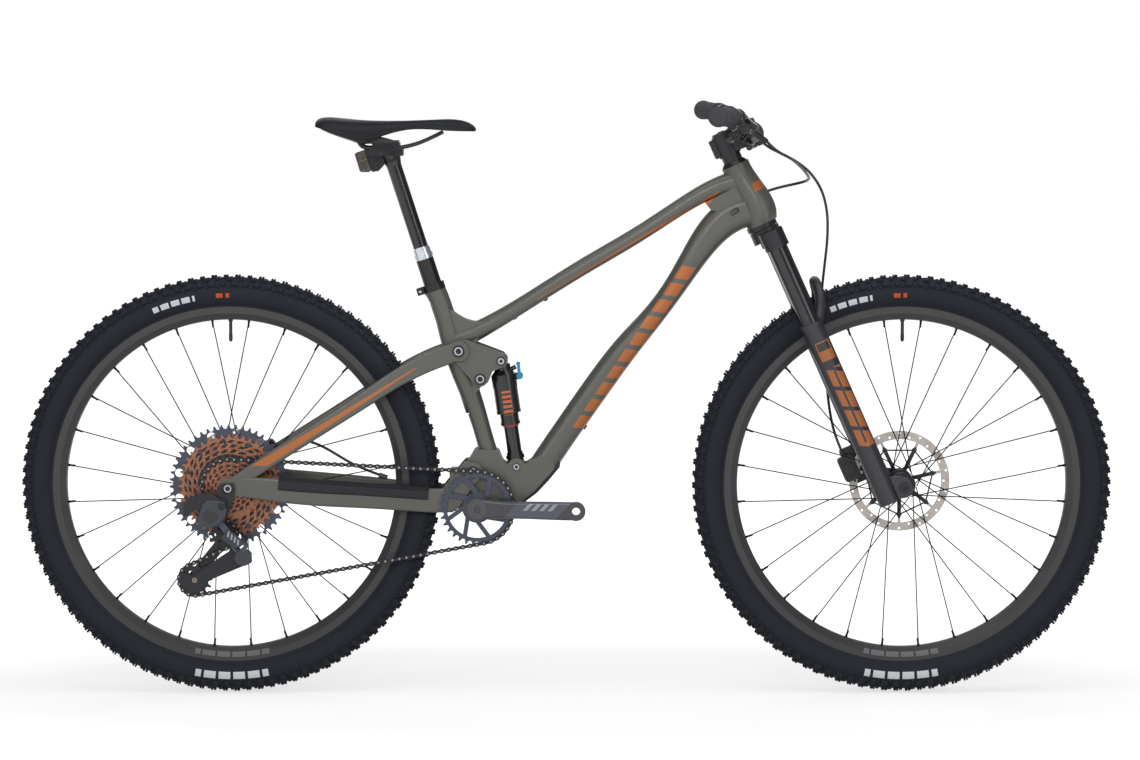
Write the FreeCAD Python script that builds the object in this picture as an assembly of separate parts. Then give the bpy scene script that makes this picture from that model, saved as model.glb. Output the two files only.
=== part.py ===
import FreeCAD, Part
import math
import os

os.makedirs("parts", exist_ok=True)

# Full-suspension mountain bike with 29 inch wheels, in millimetres.
# The origin is on the ground under the middle of the wheelbase. +X is the direction of travel,
# +Z is up, and the drive side of the bike is at -Y. A point of the side view is (x, z).

V = FreeCAD.Vector

# ---------------------------------------------------------------- driving dimensions

wheelbase = 1194.0
tyre_radius = 374.0
tyre_width = 60.0
running_gap = 0.05
body_gap = 0.4

# bottom bracket, measured from the rear axle
chainstay_length = 439.0
bottom_bracket_drop = 38.0
shell_width = 73.0
shell_radius = 25.0

# steering geometry
head_angle = 66.0
fork_offset = 42.0
axle_to_crown = 515.0
lower_headset_stack = 10.0
head_tube_length = 115.0
head_tube_radius = 25.0
steerer_radius = 14.3
lower_steerer_radius = 19.9

# seat tube line
seat_angle = 72.0
seat_tube_foot_ahead = 22.0
seat_tube_foot_rise = 82.0
seat_tube_length = 316.0
seat_tube_width = 39.0

# suspension pivots, measured from the bottom bracket
main_pivot = (-8.0, 62.0)
rocker_frame_pivot = (5.0, 227.0)
rocker_stay_pivot = (-33.0, 277.5)
rocker_shock_pivot = (42.0, 259.0)
shock_frame_pivot = (69.0, 70.5)
pivot_half_width = 32.0
rocker_inner_face = 22.0
rocker_thickness = 9.0

# fork
fork_travel = 120.0
stanchion_radius = 17.5
stanchion_spacing = 132.0
stanchion_offset = 8.0
fork_leg_radius = 19.6
front_hub_width = 110.0
front_axle_radius = 7.5

# cockpit
stem_length = 47.0
stem_height = 40.0
spacer_height = 12.0
handlebar_half_width = 380.0
handlebar_rise = 31.0
clamp_radius = 17.5
handlebar_radius = 11.1
handlebar_wall = 2.5
grip_radius = 16.5
grip_length = 132.0

# seatpost and saddle
post_outer_radius = 15.8
post_radius = 13.25
post_extension = 166.0
post_insertion = 225.0
dropper_travel = 150.0
saddle_length = 284.0
saddle_width = 146.0

# drivetrain
chain_pitch = 12.7
chain_line = 50.0
cog_pitch = 3.65
cog_teeth = (10, 12, 14, 16, 18, 21, 24, 28, 32, 38, 44, 52)
engaged_cog = 6
chainring_teeth = 32
guide_teeth = 12
tension_teeth = 14
chain_links = 120
roller_radius = 3.7
crank_length = 175.0
crank_spindle_radius = 14.5
pedal_thread_radius = 7.14
pedal_thread_length = 13.0
pedal_face = 86.0
rear_hub_width = 148.0
rear_axle_radius = 6.0
dropout_thickness = 10.0

# wheels
bead_radius = 311.0
rim_inner_radius = 293.0
rim_width = 34.0
spoke_count = 28
spoke_radius = 1.0
rotor_radius = 90.0
rotor_thickness = 1.8
front_rotor_y = 42.0
rear_rotor_y = 57.0


# ---------------------------------------------------------------- geometry helpers

def add(a, b):
    return (a[0] + b[0], a[1] + b[1])


def turn(direction, distance):
    """Side-view offset of a distance along a direction in degrees above +X."""
    angle = math.radians(direction)
    return (distance * math.cos(angle), distance * math.sin(angle))


def along(a, b, share, rise=0.0):
    """Side-view point at a share of the way from a to b, raised at right angles to that line."""
    dx = b[0] - a[0]
    dz = b[1] - a[1]
    length = math.hypot(dx, dz)
    return (a[0] + dx * share - dz / length * rise, a[1] + dz * share + dx / length * rise)


def at(point, y):
    return V(point[0], y, point[1])


def rod(start, end, radius):
    return Part.makeCylinder(radius, (end - start).Length, start, end - start)


def cone(start, end, start_radius, end_radius):
    return Part.makeCone(start_radius, end_radius, (end - start).Length, start, end - start)


def disc(point, y_low, y_high, radius):
    return rod(at(point, y_low), at(point, y_high), radius)


def ring(point, y_low, y_high, outer, inner):
    return disc(point, y_low, y_high, outer).cut(disc(point, y_low, y_high, inner))


def block(x_low, x_high, y_low, y_high, z_low, z_high):
    return Part.makeBox(x_high - x_low, y_high - y_low, z_high - z_low, V(x_low, y_low, z_low))


def plate(points, y_low, y_high, corner=0.0):
    """Plate with the given side-view outline and corners rounded to one radius."""
    outline = rounded([V(x, y_low, z) for x, z in points], corner)
    return Part.Face(outline).extrude(V(0, y_high - y_low, 0))


def rounded(corners, radius):
    """Closed wire through the corners, each one rounded by an arc no larger than its sides allow."""
    if radius <= 0:
        return Part.makePolygon(corners + [corners[0]])
    edges = []
    ends = []
    count = len(corners)
    for i in range(count):
        before = corners[i - 1] - corners[i]
        after = corners[(i + 1) % count] - corners[i]
        half = before.getAngle(after) / 2
        room = 0.49 * min(before.Length, after.Length)
        cut = min(radius / math.tan(half), room)
        middle = (before.normalize() + after.normalize()).normalize()
        arc_radius = cut * math.tan(half)
        start = corners[i] + before * cut
        end = corners[i] + after * cut
        top = corners[i] + middle * (arc_radius / math.sin(half) - arc_radius)
        edges.append(Part.Arc(start, top, end).toShape())
        ends.append((start, end))
    for i in range(count):
        edges.append(Part.LineSegment(ends[i - 1][1], ends[i][0]).toShape())
    return Part.Wire(Part.__sortEdges__(edges))


def fuse(shapes):
    result = shapes[0]
    if len(shapes) > 1:
        result = result.multiFuse(shapes[1:])
    return result.removeSplitter()


def section(centre, up, side, height, width, corner):
    """Rounded rectangle about a 3-D centre, for lofted tubes."""
    corners = []
    for s, u in ((-1, -1), (1, -1), (1, 1), (-1, 1)):
        corners.append(centre + side * (s * width / 2) + up * (u * height / 2))
    edges = []
    for i in range(4):
        here = corners[i]
        back = (corners[i - 1] - here).normalize() * corner
        ahead = (corners[(i + 1) % 4] - here).normalize() * corner
        bow = (back + ahead) * (1 - math.sqrt(0.5))
        edges.append(Part.Arc(here + back, here + bow, here + ahead).toShape())
        next_corner = corners[(i + 1) % 4]
        next_back = (here - next_corner).normalize() * corner
        edges.append(Part.LineSegment(here + ahead, next_corner + next_back).toShape())
    return Part.Wire(edges)


def lofted_tube(centres, heights, widths, offsets=None, softness=0.42, straight=False):
    """Tube through side-view centres, with a depth and a width at each, and a Y for each centre."""
    wires = []
    count = len(centres)
    for i in range(count):
        before = centres[max(i - 1, 0)]
        after = centres[min(i + 1, count - 1)]
        run = V(after[0] - before[0], 0, after[1] - before[1]).normalize()
        up = V(-run.z, 0, run.x)
        y = offsets[i] if offsets else 0.0
        corner = softness * min(heights[i], widths[i])
        wires.append(section(at(centres[i], y), up, V(0, 1, 0), heights[i], widths[i], corner))
    return Part.makeLoft(wires, True, straight)


def bent_tube(points, radius, names=None):
    """Round tube along straight runs joined by tangent arcs, each as large as its runs allow."""
    edges = []
    radii = []
    start = points[0]
    for i in range(1, len(points) - 1):
        back = points[i - 1] - points[i]
        ahead = points[i + 1] - points[i]
        half_turn = (math.pi - back.getAngle(ahead)) / 2
        cut = 0.45 * min(back.Length, ahead.Length)
        arc_radius = cut / math.tan(half_turn)
        radii.append(round(arc_radius))
        back.normalize()
        ahead.normalize()
        first = points[i] + back * cut
        last = points[i] + ahead * cut
        inward = (back + ahead).normalize()
        middle = points[i] + inward * (arc_radius / math.cos(half_turn) - arc_radius)
        edges.append(Part.LineSegment(start, first).toShape())
        edges.append(Part.Arc(first, middle, last).toShape())
        start = last
    edges.append(Part.LineSegment(start, points[-1]).toShape())
    path = Part.Wire(edges)
    profile = Part.Wire(Part.makeCircle(radius, points[0], points[1] - points[0]))
    tube = path.makePipeShell([profile], True, True)
    if names:
        share = tube.Volume / (math.pi * radius * radius * path.Length)
        print(names, "arc radii", radii, "length", round(path.Length), "volume share", round(share, 4))
    return tube


def save(node, *shapes):
    shape = shapes[0] if len(shapes) == 1 else Part.makeCompound(list(shapes))
    if not shape.isValid():
        print("not valid:", node)
    shape.exportStep("parts/" + node + ".step")
    print(node, len(shape.Solids), round(shape.Volume / 1000, 1), "cm3")


# ---------------------------------------------------------------- reference points

ground_to_axle = tyre_radius
rear_axle = (-wheelbase / 2, ground_to_axle)
front_axle = (wheelbase / 2, ground_to_axle)
bb = (rear_axle[0] + chainstay_length, ground_to_axle - bottom_bracket_drop)

pivot_a = add(bb, main_pivot)
pivot_b = add(bb, rocker_stay_pivot)
pivot_c = add(bb, rocker_frame_pivot)
pivot_d = add(bb, rocker_shock_pivot)
pivot_e = add(bb, shock_frame_pivot)

steer_up = turn(180 - head_angle, 1.0)
steer_forward = turn(90 - head_angle, 1.0)


def on_steerer(height, forward=0.0):
    """Side-view point above the foot of the head tube, and ahead of the steering axis."""
    x = head_foot[0] + steer_up[0] * height + steer_forward[0] * forward
    z = head_foot[1] + steer_up[1] * height + steer_forward[1] * forward
    return (x, z)


head_foot = add(front_axle, turn(90 - head_angle, -fork_offset))
head_foot = add(head_foot, turn(180 - head_angle, axle_to_crown + lower_headset_stack))
head_top = on_steerer(head_tube_length)

seat_foot = add(bb, (seat_tube_foot_ahead, seat_tube_foot_rise))


def on_seat_tube(height, forward=0.0):
    """Side-view point above the foot of the seat tube, and ahead of its axis."""
    return add(add(seat_foot, turn(180 - seat_angle, height)), turn(90 - seat_angle, forward))


seat_top = on_seat_tube(seat_tube_length)

# ---------------------------------------------------------------- main frame

# share of the way from bottom bracket to head tube, rise, depth, width
down_tube_stations = (
    (0.170, -34.0, 48.0, 54.0),
    (0.229, -25.0, 47.0, 54.0),
    (0.303, -15.0, 47.0, 52.0),
    (0.558, 14.0, 44.0, 50.0),
    (0.806, 40.0, 44.0, 48.0),
    (0.925, 52.0, 58.0, 46.0),
)
# share of the way from seat tube to head tube, rise, depth, width
top_tube_stations = (
    (0.00, 2.0, 40.0, 34.0),
    (0.09, -3.0, 33.0, 36.0),
    (0.19, -3.0, 29.0, 38.0),
    (0.50, 5.0, 28.5, 40.0),
    (0.79, 12.5, 28.5, 42.0),
    (0.88, 14.0, 31.0, 42.0),
)
# height above the seat tube's foot, distance ahead of the axis, depth, width
seat_tube_stations = (
    (-6.0, 2.0, 33.0, 44.0),
    (60.0, 3.0, 31.0, 38.0),
    (115.0, 3.0, 35.0, 38.0),
    (150.0, 1.5, 38.0, seat_tube_width),
    (230.0, 1.0, 38.5, seat_tube_width),
    (seat_tube_length, 0.0, seat_tube_width, seat_tube_width),
)
# height above the head tube's foot, distance ahead of the axis, growth of the radius
head_tube_stations = ((0.0, 2.0, 3.5), (32.0, 8.0, 4.5), (70.0, 4.5, 2.0), (head_tube_length, 0.5, 0.0))

head_bore_radius = 22.0
cup_depth = 12.0
upper_cup_height = 7.0
lower_cup_height = lower_headset_stack - 2.0
bb_bore_radius = 21.0
bb_cup_radius = 22.0
bb_cup_width = 7.0
main_boss_radius = 18.0
main_axle_radius = 7.5
rocker_axle_radius = 6.0
shock_bolt_radius = 4.0
foot_half_width = 27.0
shock_eye_half_width = 15.0
shock_eye_radius = 12.0
top_tube_seat_height = 218.0
top_tube_head_height = 84.0
down_tube_head_height = 30.0
bottle_boss_shares = (0.33, 0.43)
bottle_bolt_foot = 4.0
bottle_seat = 22.0
bottle_bolt_radius = 2.5
bottle_head_radius = 4.5
# middles of the heads of the two bolts under the down tube
guide_bolt_places = ((32.9, 475.0), (-5.4, 426.6))
guide_bolt_depth = 12.0
guide_head_half = 2.2
gland_radius = 4.5
gland_middle = on_steerer(38.8, -43.0)
gland_lean = (12.0, 10.0, 9.0)
frame_port = V(gland_middle[0] + gland_lean[0], 18.0 + gland_lean[1], gland_middle[1] + gland_lean[2])


def tube_from_shares(start, end, stations, tip, tip_depth, tip_width):
    centres = [along(start, end, share, rise) for share, rise, depth, width in stations] + [tip]
    depths = [station[2] for station in stations] + [tip_depth]
    widths = [station[3] for station in stations] + [tip_width]
    return lofted_tube(centres, depths, widths)


def down_tube_line(share):
    """Middle of the down tube, its local depth and its direction in degrees."""
    a = along(bb, head_foot, down_tube_stations[2][0], down_tube_stations[2][1])
    b = along(bb, head_foot, down_tube_stations[4][0], down_tube_stations[4][1])
    return along(a, b, share), math.degrees(math.atan2(b[1] - a[1], b[0] - a[0]))


def head_tube():
    wires = []
    for height, forward, growth in head_tube_stations:
        centre = at(on_steerer(height, forward), 0)
        circle = Part.makeCircle(head_tube_radius + growth, centre, at(steer_up, 0))
        wires.append(Part.Wire([circle]))
    return Part.makeLoft(wires, True, False)


def seat_tube():
    centres = [on_seat_tube(height, forward) for height, forward, depth, width in seat_tube_stations]
    depths = [station[2] for station in seat_tube_stations]
    widths = [station[3] for station in seat_tube_stations]
    return lofted_tube(centres, depths, widths, softness=0.47)


def lower_block():
    """Solid foot of the frame between the shell, the main pivot and the two tubes."""
    outline = [
        add(bb, (112.0, 92.0)),
        add(bb, (141.0, 72.0)),
        add(bb, (101.0, 27.0)),
        add(bb, (72.0, 4.0)),
        add(bb, (20.0, -20.0)),
        add(bb, (-20.0, -12.0)),
        add(pivot_a, (-14.0, -14.0)),
        add(pivot_a, (-14.0, 10.0)),
        add(seat_foot, (-26.0, 20.0)),
        add(seat_foot, (15.0, 18.0)),
        add(seat_foot, (25.0, -6.0)),
        add(pivot_e, (17.0, 5.0)),
    ]
    body = plate(outline, -foot_half_width, foot_half_width, 9.0)
    shell = disc(bb, -shell_width / 2, shell_width / 2, shell_radius)
    boss = disc(pivot_a, -pivot_half_width, pivot_half_width, main_boss_radius)
    ears = disc(pivot_e, -foot_half_width, foot_half_width, 15.0)
    return fuse([body, shell, boss, ears])


def junctions():
    """Gusset behind the head tube, the fairing ahead of the seat tube and the rocker's lug."""
    gusset = plate(
        [on_steerer(76, -76), on_steerer(58, -71), on_steerer(30, -10), on_steerer(80, -10)], -19, 19, 3
    )
    fairing = plate(
        [
            on_seat_tube(seat_tube_length - 30, 8),
            on_seat_tube(seat_tube_length - 41, 17),
            on_seat_tube(seat_tube_length - 54, 26.5),
            on_seat_tube(seat_tube_length - 65, 37),
            on_seat_tube(seat_tube_length - 73, 49),
            on_seat_tube(seat_tube_length - 80, 69),
            on_seat_tube(seat_tube_length - 112, 40),
            on_seat_tube(seat_tube_length - 120, 10),
        ],
        -15,
        15,
        9,
    )
    lug_half_width = rocker_inner_face - 0.5
    lug = disc(pivot_c, -lug_half_width, lug_half_width, 14.0)
    web = plate(
        [add(pivot_c, (-22, 30)), add(pivot_c, (6, 9)), add(pivot_c, (6, -9)), add(pivot_c, (-14, -34))],
        -17,
        17,
        4,
    )
    return [gusset, fairing, lug, web]


def bottle_bolt(low, high, radius):
    """Cylinders square to the down tube at both bottle bolts, between two heights above its middle."""
    pegs = []
    for share in bottle_boss_shares:
        centre, direction = down_tube_line(share)
        foot = add(centre, turn(direction + 90, low))
        crest = add(centre, turn(direction + 90, high))
        pegs.append(rod(at(foot, 0), at(crest, 0), radius))
    return pegs


def guide_bolts():
    """Bolts of the hose guides on the lower face of the down tube."""
    inward = down_tube_line(0.5)[1] + 90
    bolts = []
    for place in guide_bolt_places:
        foot = add(place, turn(inward, guide_bolt_depth))
        head_low = add(place, turn(inward, guide_head_half))
        head_high = add(place, turn(inward, -guide_head_half))
        shank = rod(at(foot, 0), at(place, 0), bottle_bolt_radius)
        head = rod(at(head_low, 0), at(head_high, 0), bottle_head_radius)
        bolts.append(fuse([shank, head]))
    return bolts


def main_frame():
    down_tube = tube_from_shares(
        bb, head_foot, down_tube_stations, on_steerer(down_tube_head_height, -4), 60.0, 44.0
    )
    seat_joint = on_seat_tube(top_tube_seat_height)
    top_tube = tube_from_shares(
        seat_joint, on_steerer(top_tube_head_height), top_tube_stations,
        on_steerer(top_tube_head_height + 2, -4), 38.0, 42.0
    )
    glands = []
    for side in (-1, 1):
        start = V(gland_middle[0], side * 18.0, gland_middle[1])
        glands.append(rod(start, start + V(gland_lean[0], side * gland_lean[1], gland_lean[2]), gland_radius))
    frame = fuse([down_tube, top_tube, seat_tube(), head_tube(), lower_block()] + junctions() + glands)
    # faces square to the steering axis at the ends of the head tube
    below = rod(at(on_steerer(-60), 0), at(on_steerer(0), 0), 70.0)
    frame = frame.cut(below.common(block(-9e3, 9e3, -99, 99, head_foot[1] - 70, head_foot[1] + 40)))
    frame = frame.cut(rod(at(on_steerer(head_tube_length), 0), at(on_steerer(head_tube_length + 60), 0), 60.0))
    frame = frame.cut(rod(at(on_steerer(-5), 0), at(on_steerer(head_tube_length + 5), 0), head_bore_radius))
    # bores of the seatpost, bottom bracket and pivots
    frame = frame.cut(rod(at(on_seat_tube(seat_tube_length - post_insertion - 4), 0),
                          at(on_seat_tube(seat_tube_length + 5), 0), post_outer_radius + running_gap))
    frame = frame.cut(rod(at(seat_top, 0), at(on_seat_tube(seat_tube_length + 30), 0), 40.0))
    frame = frame.cut(disc(bb, -60, 60, bb_bore_radius))
    frame = frame.cut(disc(pivot_a, -60, 60, main_axle_radius))
    frame = frame.cut(disc(pivot_c, -60, 60, rocker_axle_radius))
    frame = frame.cut(disc(pivot_e, -60, 60, shock_bolt_radius))
    # slot that takes the shock's lower eye
    slot = plate(
        [add(pivot_e, (-19, 40)), add(pivot_e, (-17, -10)), add(pivot_e, (-8, -18)),
         add(pivot_e, (9, -18)), add(pivot_e, (20, -6)), add(pivot_e, (26, 40))],
        -shock_eye_half_width - body_gap, shock_eye_half_width + body_gap, 4.0
    )
    frame = frame.cut(slot)
    for peg in bottle_bolt(bottle_bolt_foot, bottle_seat, bottle_bolt_radius):
        frame = frame.cut(peg)
    for recess in bottle_bolt(bottle_seat, bottle_seat + 9, bottle_head_radius + 0.5):
        frame = frame.cut(recess)
    for bolt in guide_bolts():
        frame = frame.cut(bolt)
    return frame


frame_shape = main_frame()
save("main_frame", frame_shape)


def headset_cups():
    lower = rod(at(on_steerer(-lower_cup_height), 0), at(on_steerer(0), 0), head_tube_radius + 2.5)
    lower = lower.fuse(rod(at(on_steerer(0), 0), at(on_steerer(cup_depth), 0), head_bore_radius))
    lower = lower.cut(rod(at(on_steerer(-20), 0), at(on_steerer(20), 0), lower_steerer_radius + running_gap))
    top = head_tube_length
    upper = cone(at(on_steerer(top), 0), at(on_steerer(top + upper_cup_height), 0), head_tube_radius - 0.5, 19.0)
    upper = upper.fuse(rod(at(on_steerer(top - cup_depth), 0), at(on_steerer(top), 0), head_bore_radius))
    upper = upper.cut(rod(at(on_steerer(top - 20), 0), at(on_steerer(top + 20), 0), steerer_radius + running_gap))
    return [lower, upper]


def bottom_bracket():
    half = shell_width / 2
    cups = []
    for side in (-1, 1):
        inner = half - 18.0
        cup = disc(bb, min(side * inner, side * half), max(side * inner, side * half), bb_bore_radius)
        flange_end = side * (half + bb_cup_width)
        flange = disc(bb, min(side * half, flange_end), max(side * half, flange_end), bb_cup_radius)
        cup = cup.fuse(flange).cut(disc(bb, -60, 60, crank_spindle_radius + running_gap))
        cups.append(cup)
    return cups


save("bearing_cups", *headset_cups(), *bottom_bracket())

collar_height = 13.0


def seat_collar():
    low = on_seat_tube(seat_tube_length)
    high = on_seat_tube(seat_tube_length + collar_height)
    band = rod(at(low, 0), at(high, 0), seat_tube_width / 2 + 0.6)
    lugs = plate(
        [on_seat_tube(seat_tube_length, -15), on_seat_tube(seat_tube_length + collar_height, -15),
         on_seat_tube(seat_tube_length + collar_height, -31), on_seat_tube(seat_tube_length, -31)],
        -9, 9, 1.5
    )
    bore = rod(at(on_seat_tube(seat_tube_length - 5), 0), at(on_seat_tube(seat_tube_length + 30), 0),
               post_outer_radius + running_gap)
    split = plate(
        [on_seat_tube(seat_tube_length - 2, -10), on_seat_tube(seat_tube_length + 20, -10),
         on_seat_tube(seat_tube_length + 20, -40), on_seat_tube(seat_tube_length - 2, -40)],
        -0.8, 0.8
    )
    middle = on_seat_tube(seat_tube_length + collar_height / 2, -25)
    collar = fuse([band, lugs]).cut(bore).cut(split).cut(disc(middle, -20, 20, 2.5))
    bolt = fuse([disc(middle, -11.5, 9, 2.5), disc(middle, -14.5, -9, 4.3)])
    return [collar, bolt]


save("seat_collar", *seat_collar())


def pivot_hardware():
    """Axles that stay in the frame: main pivot, rocker pivot and the shock's lower bolt."""
    main_end = pivot_half_width + dropout_thickness + 0.8
    main = fuse([
        disc(pivot_a, -main_end, main_end, main_axle_radius),
        disc(pivot_a, -main_end - 2.6, -main_end, 11.0),
        disc(pivot_a, main_end, main_end + 2.6, 11.0),
    ])
    rocker_end = rocker_inner_face + rocker_thickness + body_gap
    rocker = fuse([
        disc(pivot_c, -rocker_end, rocker_end, rocker_axle_radius),
        disc(pivot_c, -rocker_end - 3.0, -rocker_end, 10.0),
        disc(pivot_c, rocker_end, rocker_end + 3.0, 10.0),
    ])
    shock = fuse([
        disc(pivot_e, -foot_half_width, foot_half_width, shock_bolt_radius),
        disc(pivot_e, -foot_half_width - 3.0, -foot_half_width, 6.5),
        disc(pivot_e, foot_half_width, foot_half_width + 3.0, 6.5),
    ])
    parts = []
    for axle, point, end, hexagon in ((main, pivot_a, main_end + 2.6, 4.5),
                                      (rocker, pivot_c, rocker_end + 3.0, 3.5), (shock, pivot_e, foot_half_width + 3.0, 3.0)):
        socket = disc(point, -end, -end + 2.0, hexagon)
        parts.append(axle.cut(socket))
    return parts


def frame_bolts():
    """Bottle bolts on the upper face of the down tube."""
    shanks = bottle_bolt(bottle_bolt_foot, bottle_seat, bottle_bolt_radius)
    heads = bottle_bolt(bottle_seat, bottle_seat + 3.0, bottle_head_radius)
    return [fuse([shank, head]) for shank, head in zip(shanks, heads)]


save("frame_hardware", *pivot_hardware(), *frame_bolts(), *guide_bolts())


def down_tube_guard():
    """Rubber shield along the lower edge of the frame's solid foot."""
    outline = [
        add(bb, (128.0, 80.0)),
        add(bb, (147.5, 79.0)),
        add(bb, (146.0, 69.0)),
        add(bb, (126.0, 45.0)),
        add(bb, (105.5, 23.0)),
        add(bb, (76.0, 1.0)),
        add(bb, (64.0, 8.0)),
    ]
    return plate(outline, -20, 20, 3.0).cut(frame_shape)


save("down_tube_guard", down_tube_guard())


# ---------------------------------------------------------------- steering: crown, stanchions, cockpit

crown_height = 30.0
crown_hollow_half = 36.0
crown_tyre_gap = 5.0
crown_top = -lower_headset_stack
crown_bottom = crown_top - crown_height
lowers_top = -191.0
lowers_length = 349.0
stanchion_overlap = 60.0
stem_middle = head_tube_length + upper_cup_height + spacer_height + stem_height / 2
bar_centre = on_steerer(stem_middle, stem_length)
leg_y = stanchion_spacing / 2


def steer_rod(low, high, radius, forward=0.0, y=0.0):
    """Cylinder parallel to the steering axis between two heights."""
    return rod(at(on_steerer(low, forward), y), at(on_steerer(high, forward), y), radius)


def steerer_and_crown():
    shapes = [
        steer_rod(crown_bottom + 2, crown_top, 26.0),
        steer_rod(crown_top, 32.0, lower_steerer_radius),
        cone(at(on_steerer(32.0), 0), at(on_steerer(60.0), 0), lower_steerer_radius, steerer_radius),
        steer_rod(60.0, stem_middle + stem_height / 2 - 3.0, steerer_radius),
    ]
    arm = plate(
        [on_steerer(crown_top - 3, -15), on_steerer(crown_top - 3, 22),
         on_steerer(crown_bottom + 2, 25), on_steerer(crown_bottom + 2, -13)],
        -leg_y, leg_y, 6.0
    )
    shapes.append(arm)
    for y in (-leg_y, leg_y):
        shapes.append(steer_rod(crown_bottom - 6, crown_top - 3, stanchion_radius + 4.5, stanchion_offset, y))
    crown = fuse(shapes)
    for y in (-leg_y, leg_y):
        crown = crown.cut(steer_rod(crown_bottom - 20, crown_top - 6, stanchion_radius, stanchion_offset, y))
    # steerer is a tube, open at its top
    crown = crown.cut(steer_rod(-5.0, stem_middle + stem_height, steerer_radius - 2.3))
    # underside is hollow between the legs, where the tyre comes up at full travel
    raised_axle = on_steerer(fork_travel - axle_to_crown - lower_headset_stack, fork_offset)
    return crown.cut(disc(raised_axle, -crown_hollow_half, crown_hollow_half, tyre_radius + crown_tyre_gap))


save("steerer_and_crown", steerer_and_crown())

stanchion_bottom = lowers_top - fork_travel - stanchion_overlap


def stanchions():
    tubes = []
    for y in (-leg_y, leg_y):
        outer = steer_rod(stanchion_bottom, crown_top - 6, stanchion_radius, stanchion_offset, y)
        bore = steer_rod(stanchion_bottom - 1, crown_top - 14, stanchion_radius - 2.5, stanchion_offset, y)
        tubes.append(outer.cut(bore))
    return tubes


save("stanchions", *stanchions())


def headset_spacers():
    low = head_tube_length + upper_cup_height + body_gap
    ring_count = 2
    height = (spacer_height - body_gap) / ring_count
    rings = []
    for i in range(ring_count):
        start = low + i * height
        rings.append(steer_rod(start, start + height, 17.5).cut(steer_rod(start - 1, start + 20, steerer_radius)))
    top = stem_middle + stem_height / 2
    cap = fuse([steer_rod(top, top + 4, 17.0), steer_rod(top + 4, top + 5.5, 6.0)])
    cap = cap.cut(steer_rod(top + 2.5, top + 6, 2.6))
    return rings + [cap]


def stem():
    clamp = steer_rod(stem_middle - stem_height / 2, stem_middle + stem_height / 2, 20.0)
    ears = plate(
        [on_steerer(stem_middle - 17, -12), on_steerer(stem_middle + 17, -12),
         on_steerer(stem_middle + 17, -27), on_steerer(stem_middle - 17, -27)],
        -10, 10, 3.0
    )
    body = plate(
        [on_steerer(stem_middle - 16, 0), on_steerer(stem_middle - 19, stem_length),
         on_steerer(stem_middle + 19, stem_length), on_steerer(stem_middle + 16, 0)],
        -17, 17, 2.0
    )
    barrel = disc(bar_centre, -23, 23, clamp_radius + 5.5)
    shape = fuse([clamp, ears, body, barrel])
    shape = shape.cut(steer_rod(stem_middle - 60, stem_middle + 60, steerer_radius))
    shape = shape.cut(disc(bar_centre, -60, 60, clamp_radius))
    slit = plate(
        [on_steerer(stem_middle - 60, -10), on_steerer(stem_middle + 60, -10),
         on_steerer(stem_middle + 60, -40), on_steerer(stem_middle - 60, -40)],
        -1, 1
    )
    shape = shape.cut(slit)
    # the faceplate is the half of the barrel ahead of the bar, held by four bolts
    cut_low = on_steerer(stem_middle - 40, stem_length + 2)
    cut_high = on_steerer(stem_middle + 40, stem_length + 2)
    front_half = plate([cut_low, cut_high, add(cut_high, turn(90 - head_angle, 60)),
                        add(cut_low, turn(90 - head_angle, 60))], -60, 60)
    gap = plate([cut_low, cut_high, add(cut_high, turn(90 - head_angle, 1.6)),
                 add(cut_low, turn(90 - head_angle, 1.6))], -60, 60)
    rear = shape.cut(front_half)
    face = shape.common(front_half).cut(gap)
    bolts = []
    for height in (stem_middle - 20.5, stem_middle + 20.5):
        for y in (-16, 16):
            shank = rod(at(on_steerer(height, stem_length - 12), y), at(on_steerer(height, stem_length + 12), y), 2.5)
            head = rod(at(on_steerer(height, stem_length + 12), y), at(on_steerer(height, stem_length + 16), y), 4.0)
            lug = rod(at(on_steerer(height, stem_length - 12), y), at(on_steerer(height, stem_length + 2), y), 5.0)
            lip = rod(at(on_steerer(height, stem_length + 3.6), y), at(on_steerer(height, stem_length + 12), y), 5.0)
            bolt = fuse([shank, head])
            rear = rear.fuse(lug.cut(disc(bar_centre, -60, 60, clamp_radius)))
            face = face.fuse(lip.cut(disc(bar_centre, -60, 60, clamp_radius)))
            bolts.append(bolt)
    for bolt in bolts:
        rear = rear.cut(bolt)
        face = face.cut(bolt)
    return [rear.removeSplitter(), face.removeSplitter()] + bolts


save("stem", *stem(), *headset_spacers())

bar_bend_1 = (0.0, 50.0, 0.0)
bar_bend_2 = (-21.0, 130.0, handlebar_rise)
bar_end = (-71.0, handlebar_half_width, handlebar_rise + 5.5)


def bar_point(offset, side):
    return V(bar_centre[0] + offset[0], side * offset[1], bar_centre[1] + offset[2])


def on_grip_line(distance, side):
    """Point on the bar's outer straight, measured inward from its end."""
    end = bar_point(bar_end, side)
    inner = bar_point(bar_bend_2, side)
    return end + (inner - end).normalize() * distance


def handlebar():
    points = []
    for side, order in ((-1, (bar_end, bar_bend_2, bar_bend_1)), (1, (bar_bend_1, bar_bend_2, bar_end))):
        points += [bar_point(offset, side) for offset in order]
    tube = bent_tube(points, handlebar_radius)
    bore = bent_tube(points, handlebar_radius - handlebar_wall)
    centre = disc(bar_centre, -42, 42, clamp_radius)
    tapers = []
    for side in (-1, 1):
        start = V(bar_centre[0], side * 42, bar_centre[1])
        end = V(bar_centre[0], side * 58, bar_centre[1] + 1.5)
        tapers.append(cone(start, end, clamp_radius, handlebar_radius))
    return fuse([tube, centre] + tapers).cut(bore)


save("handlebar", handlebar())


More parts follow.
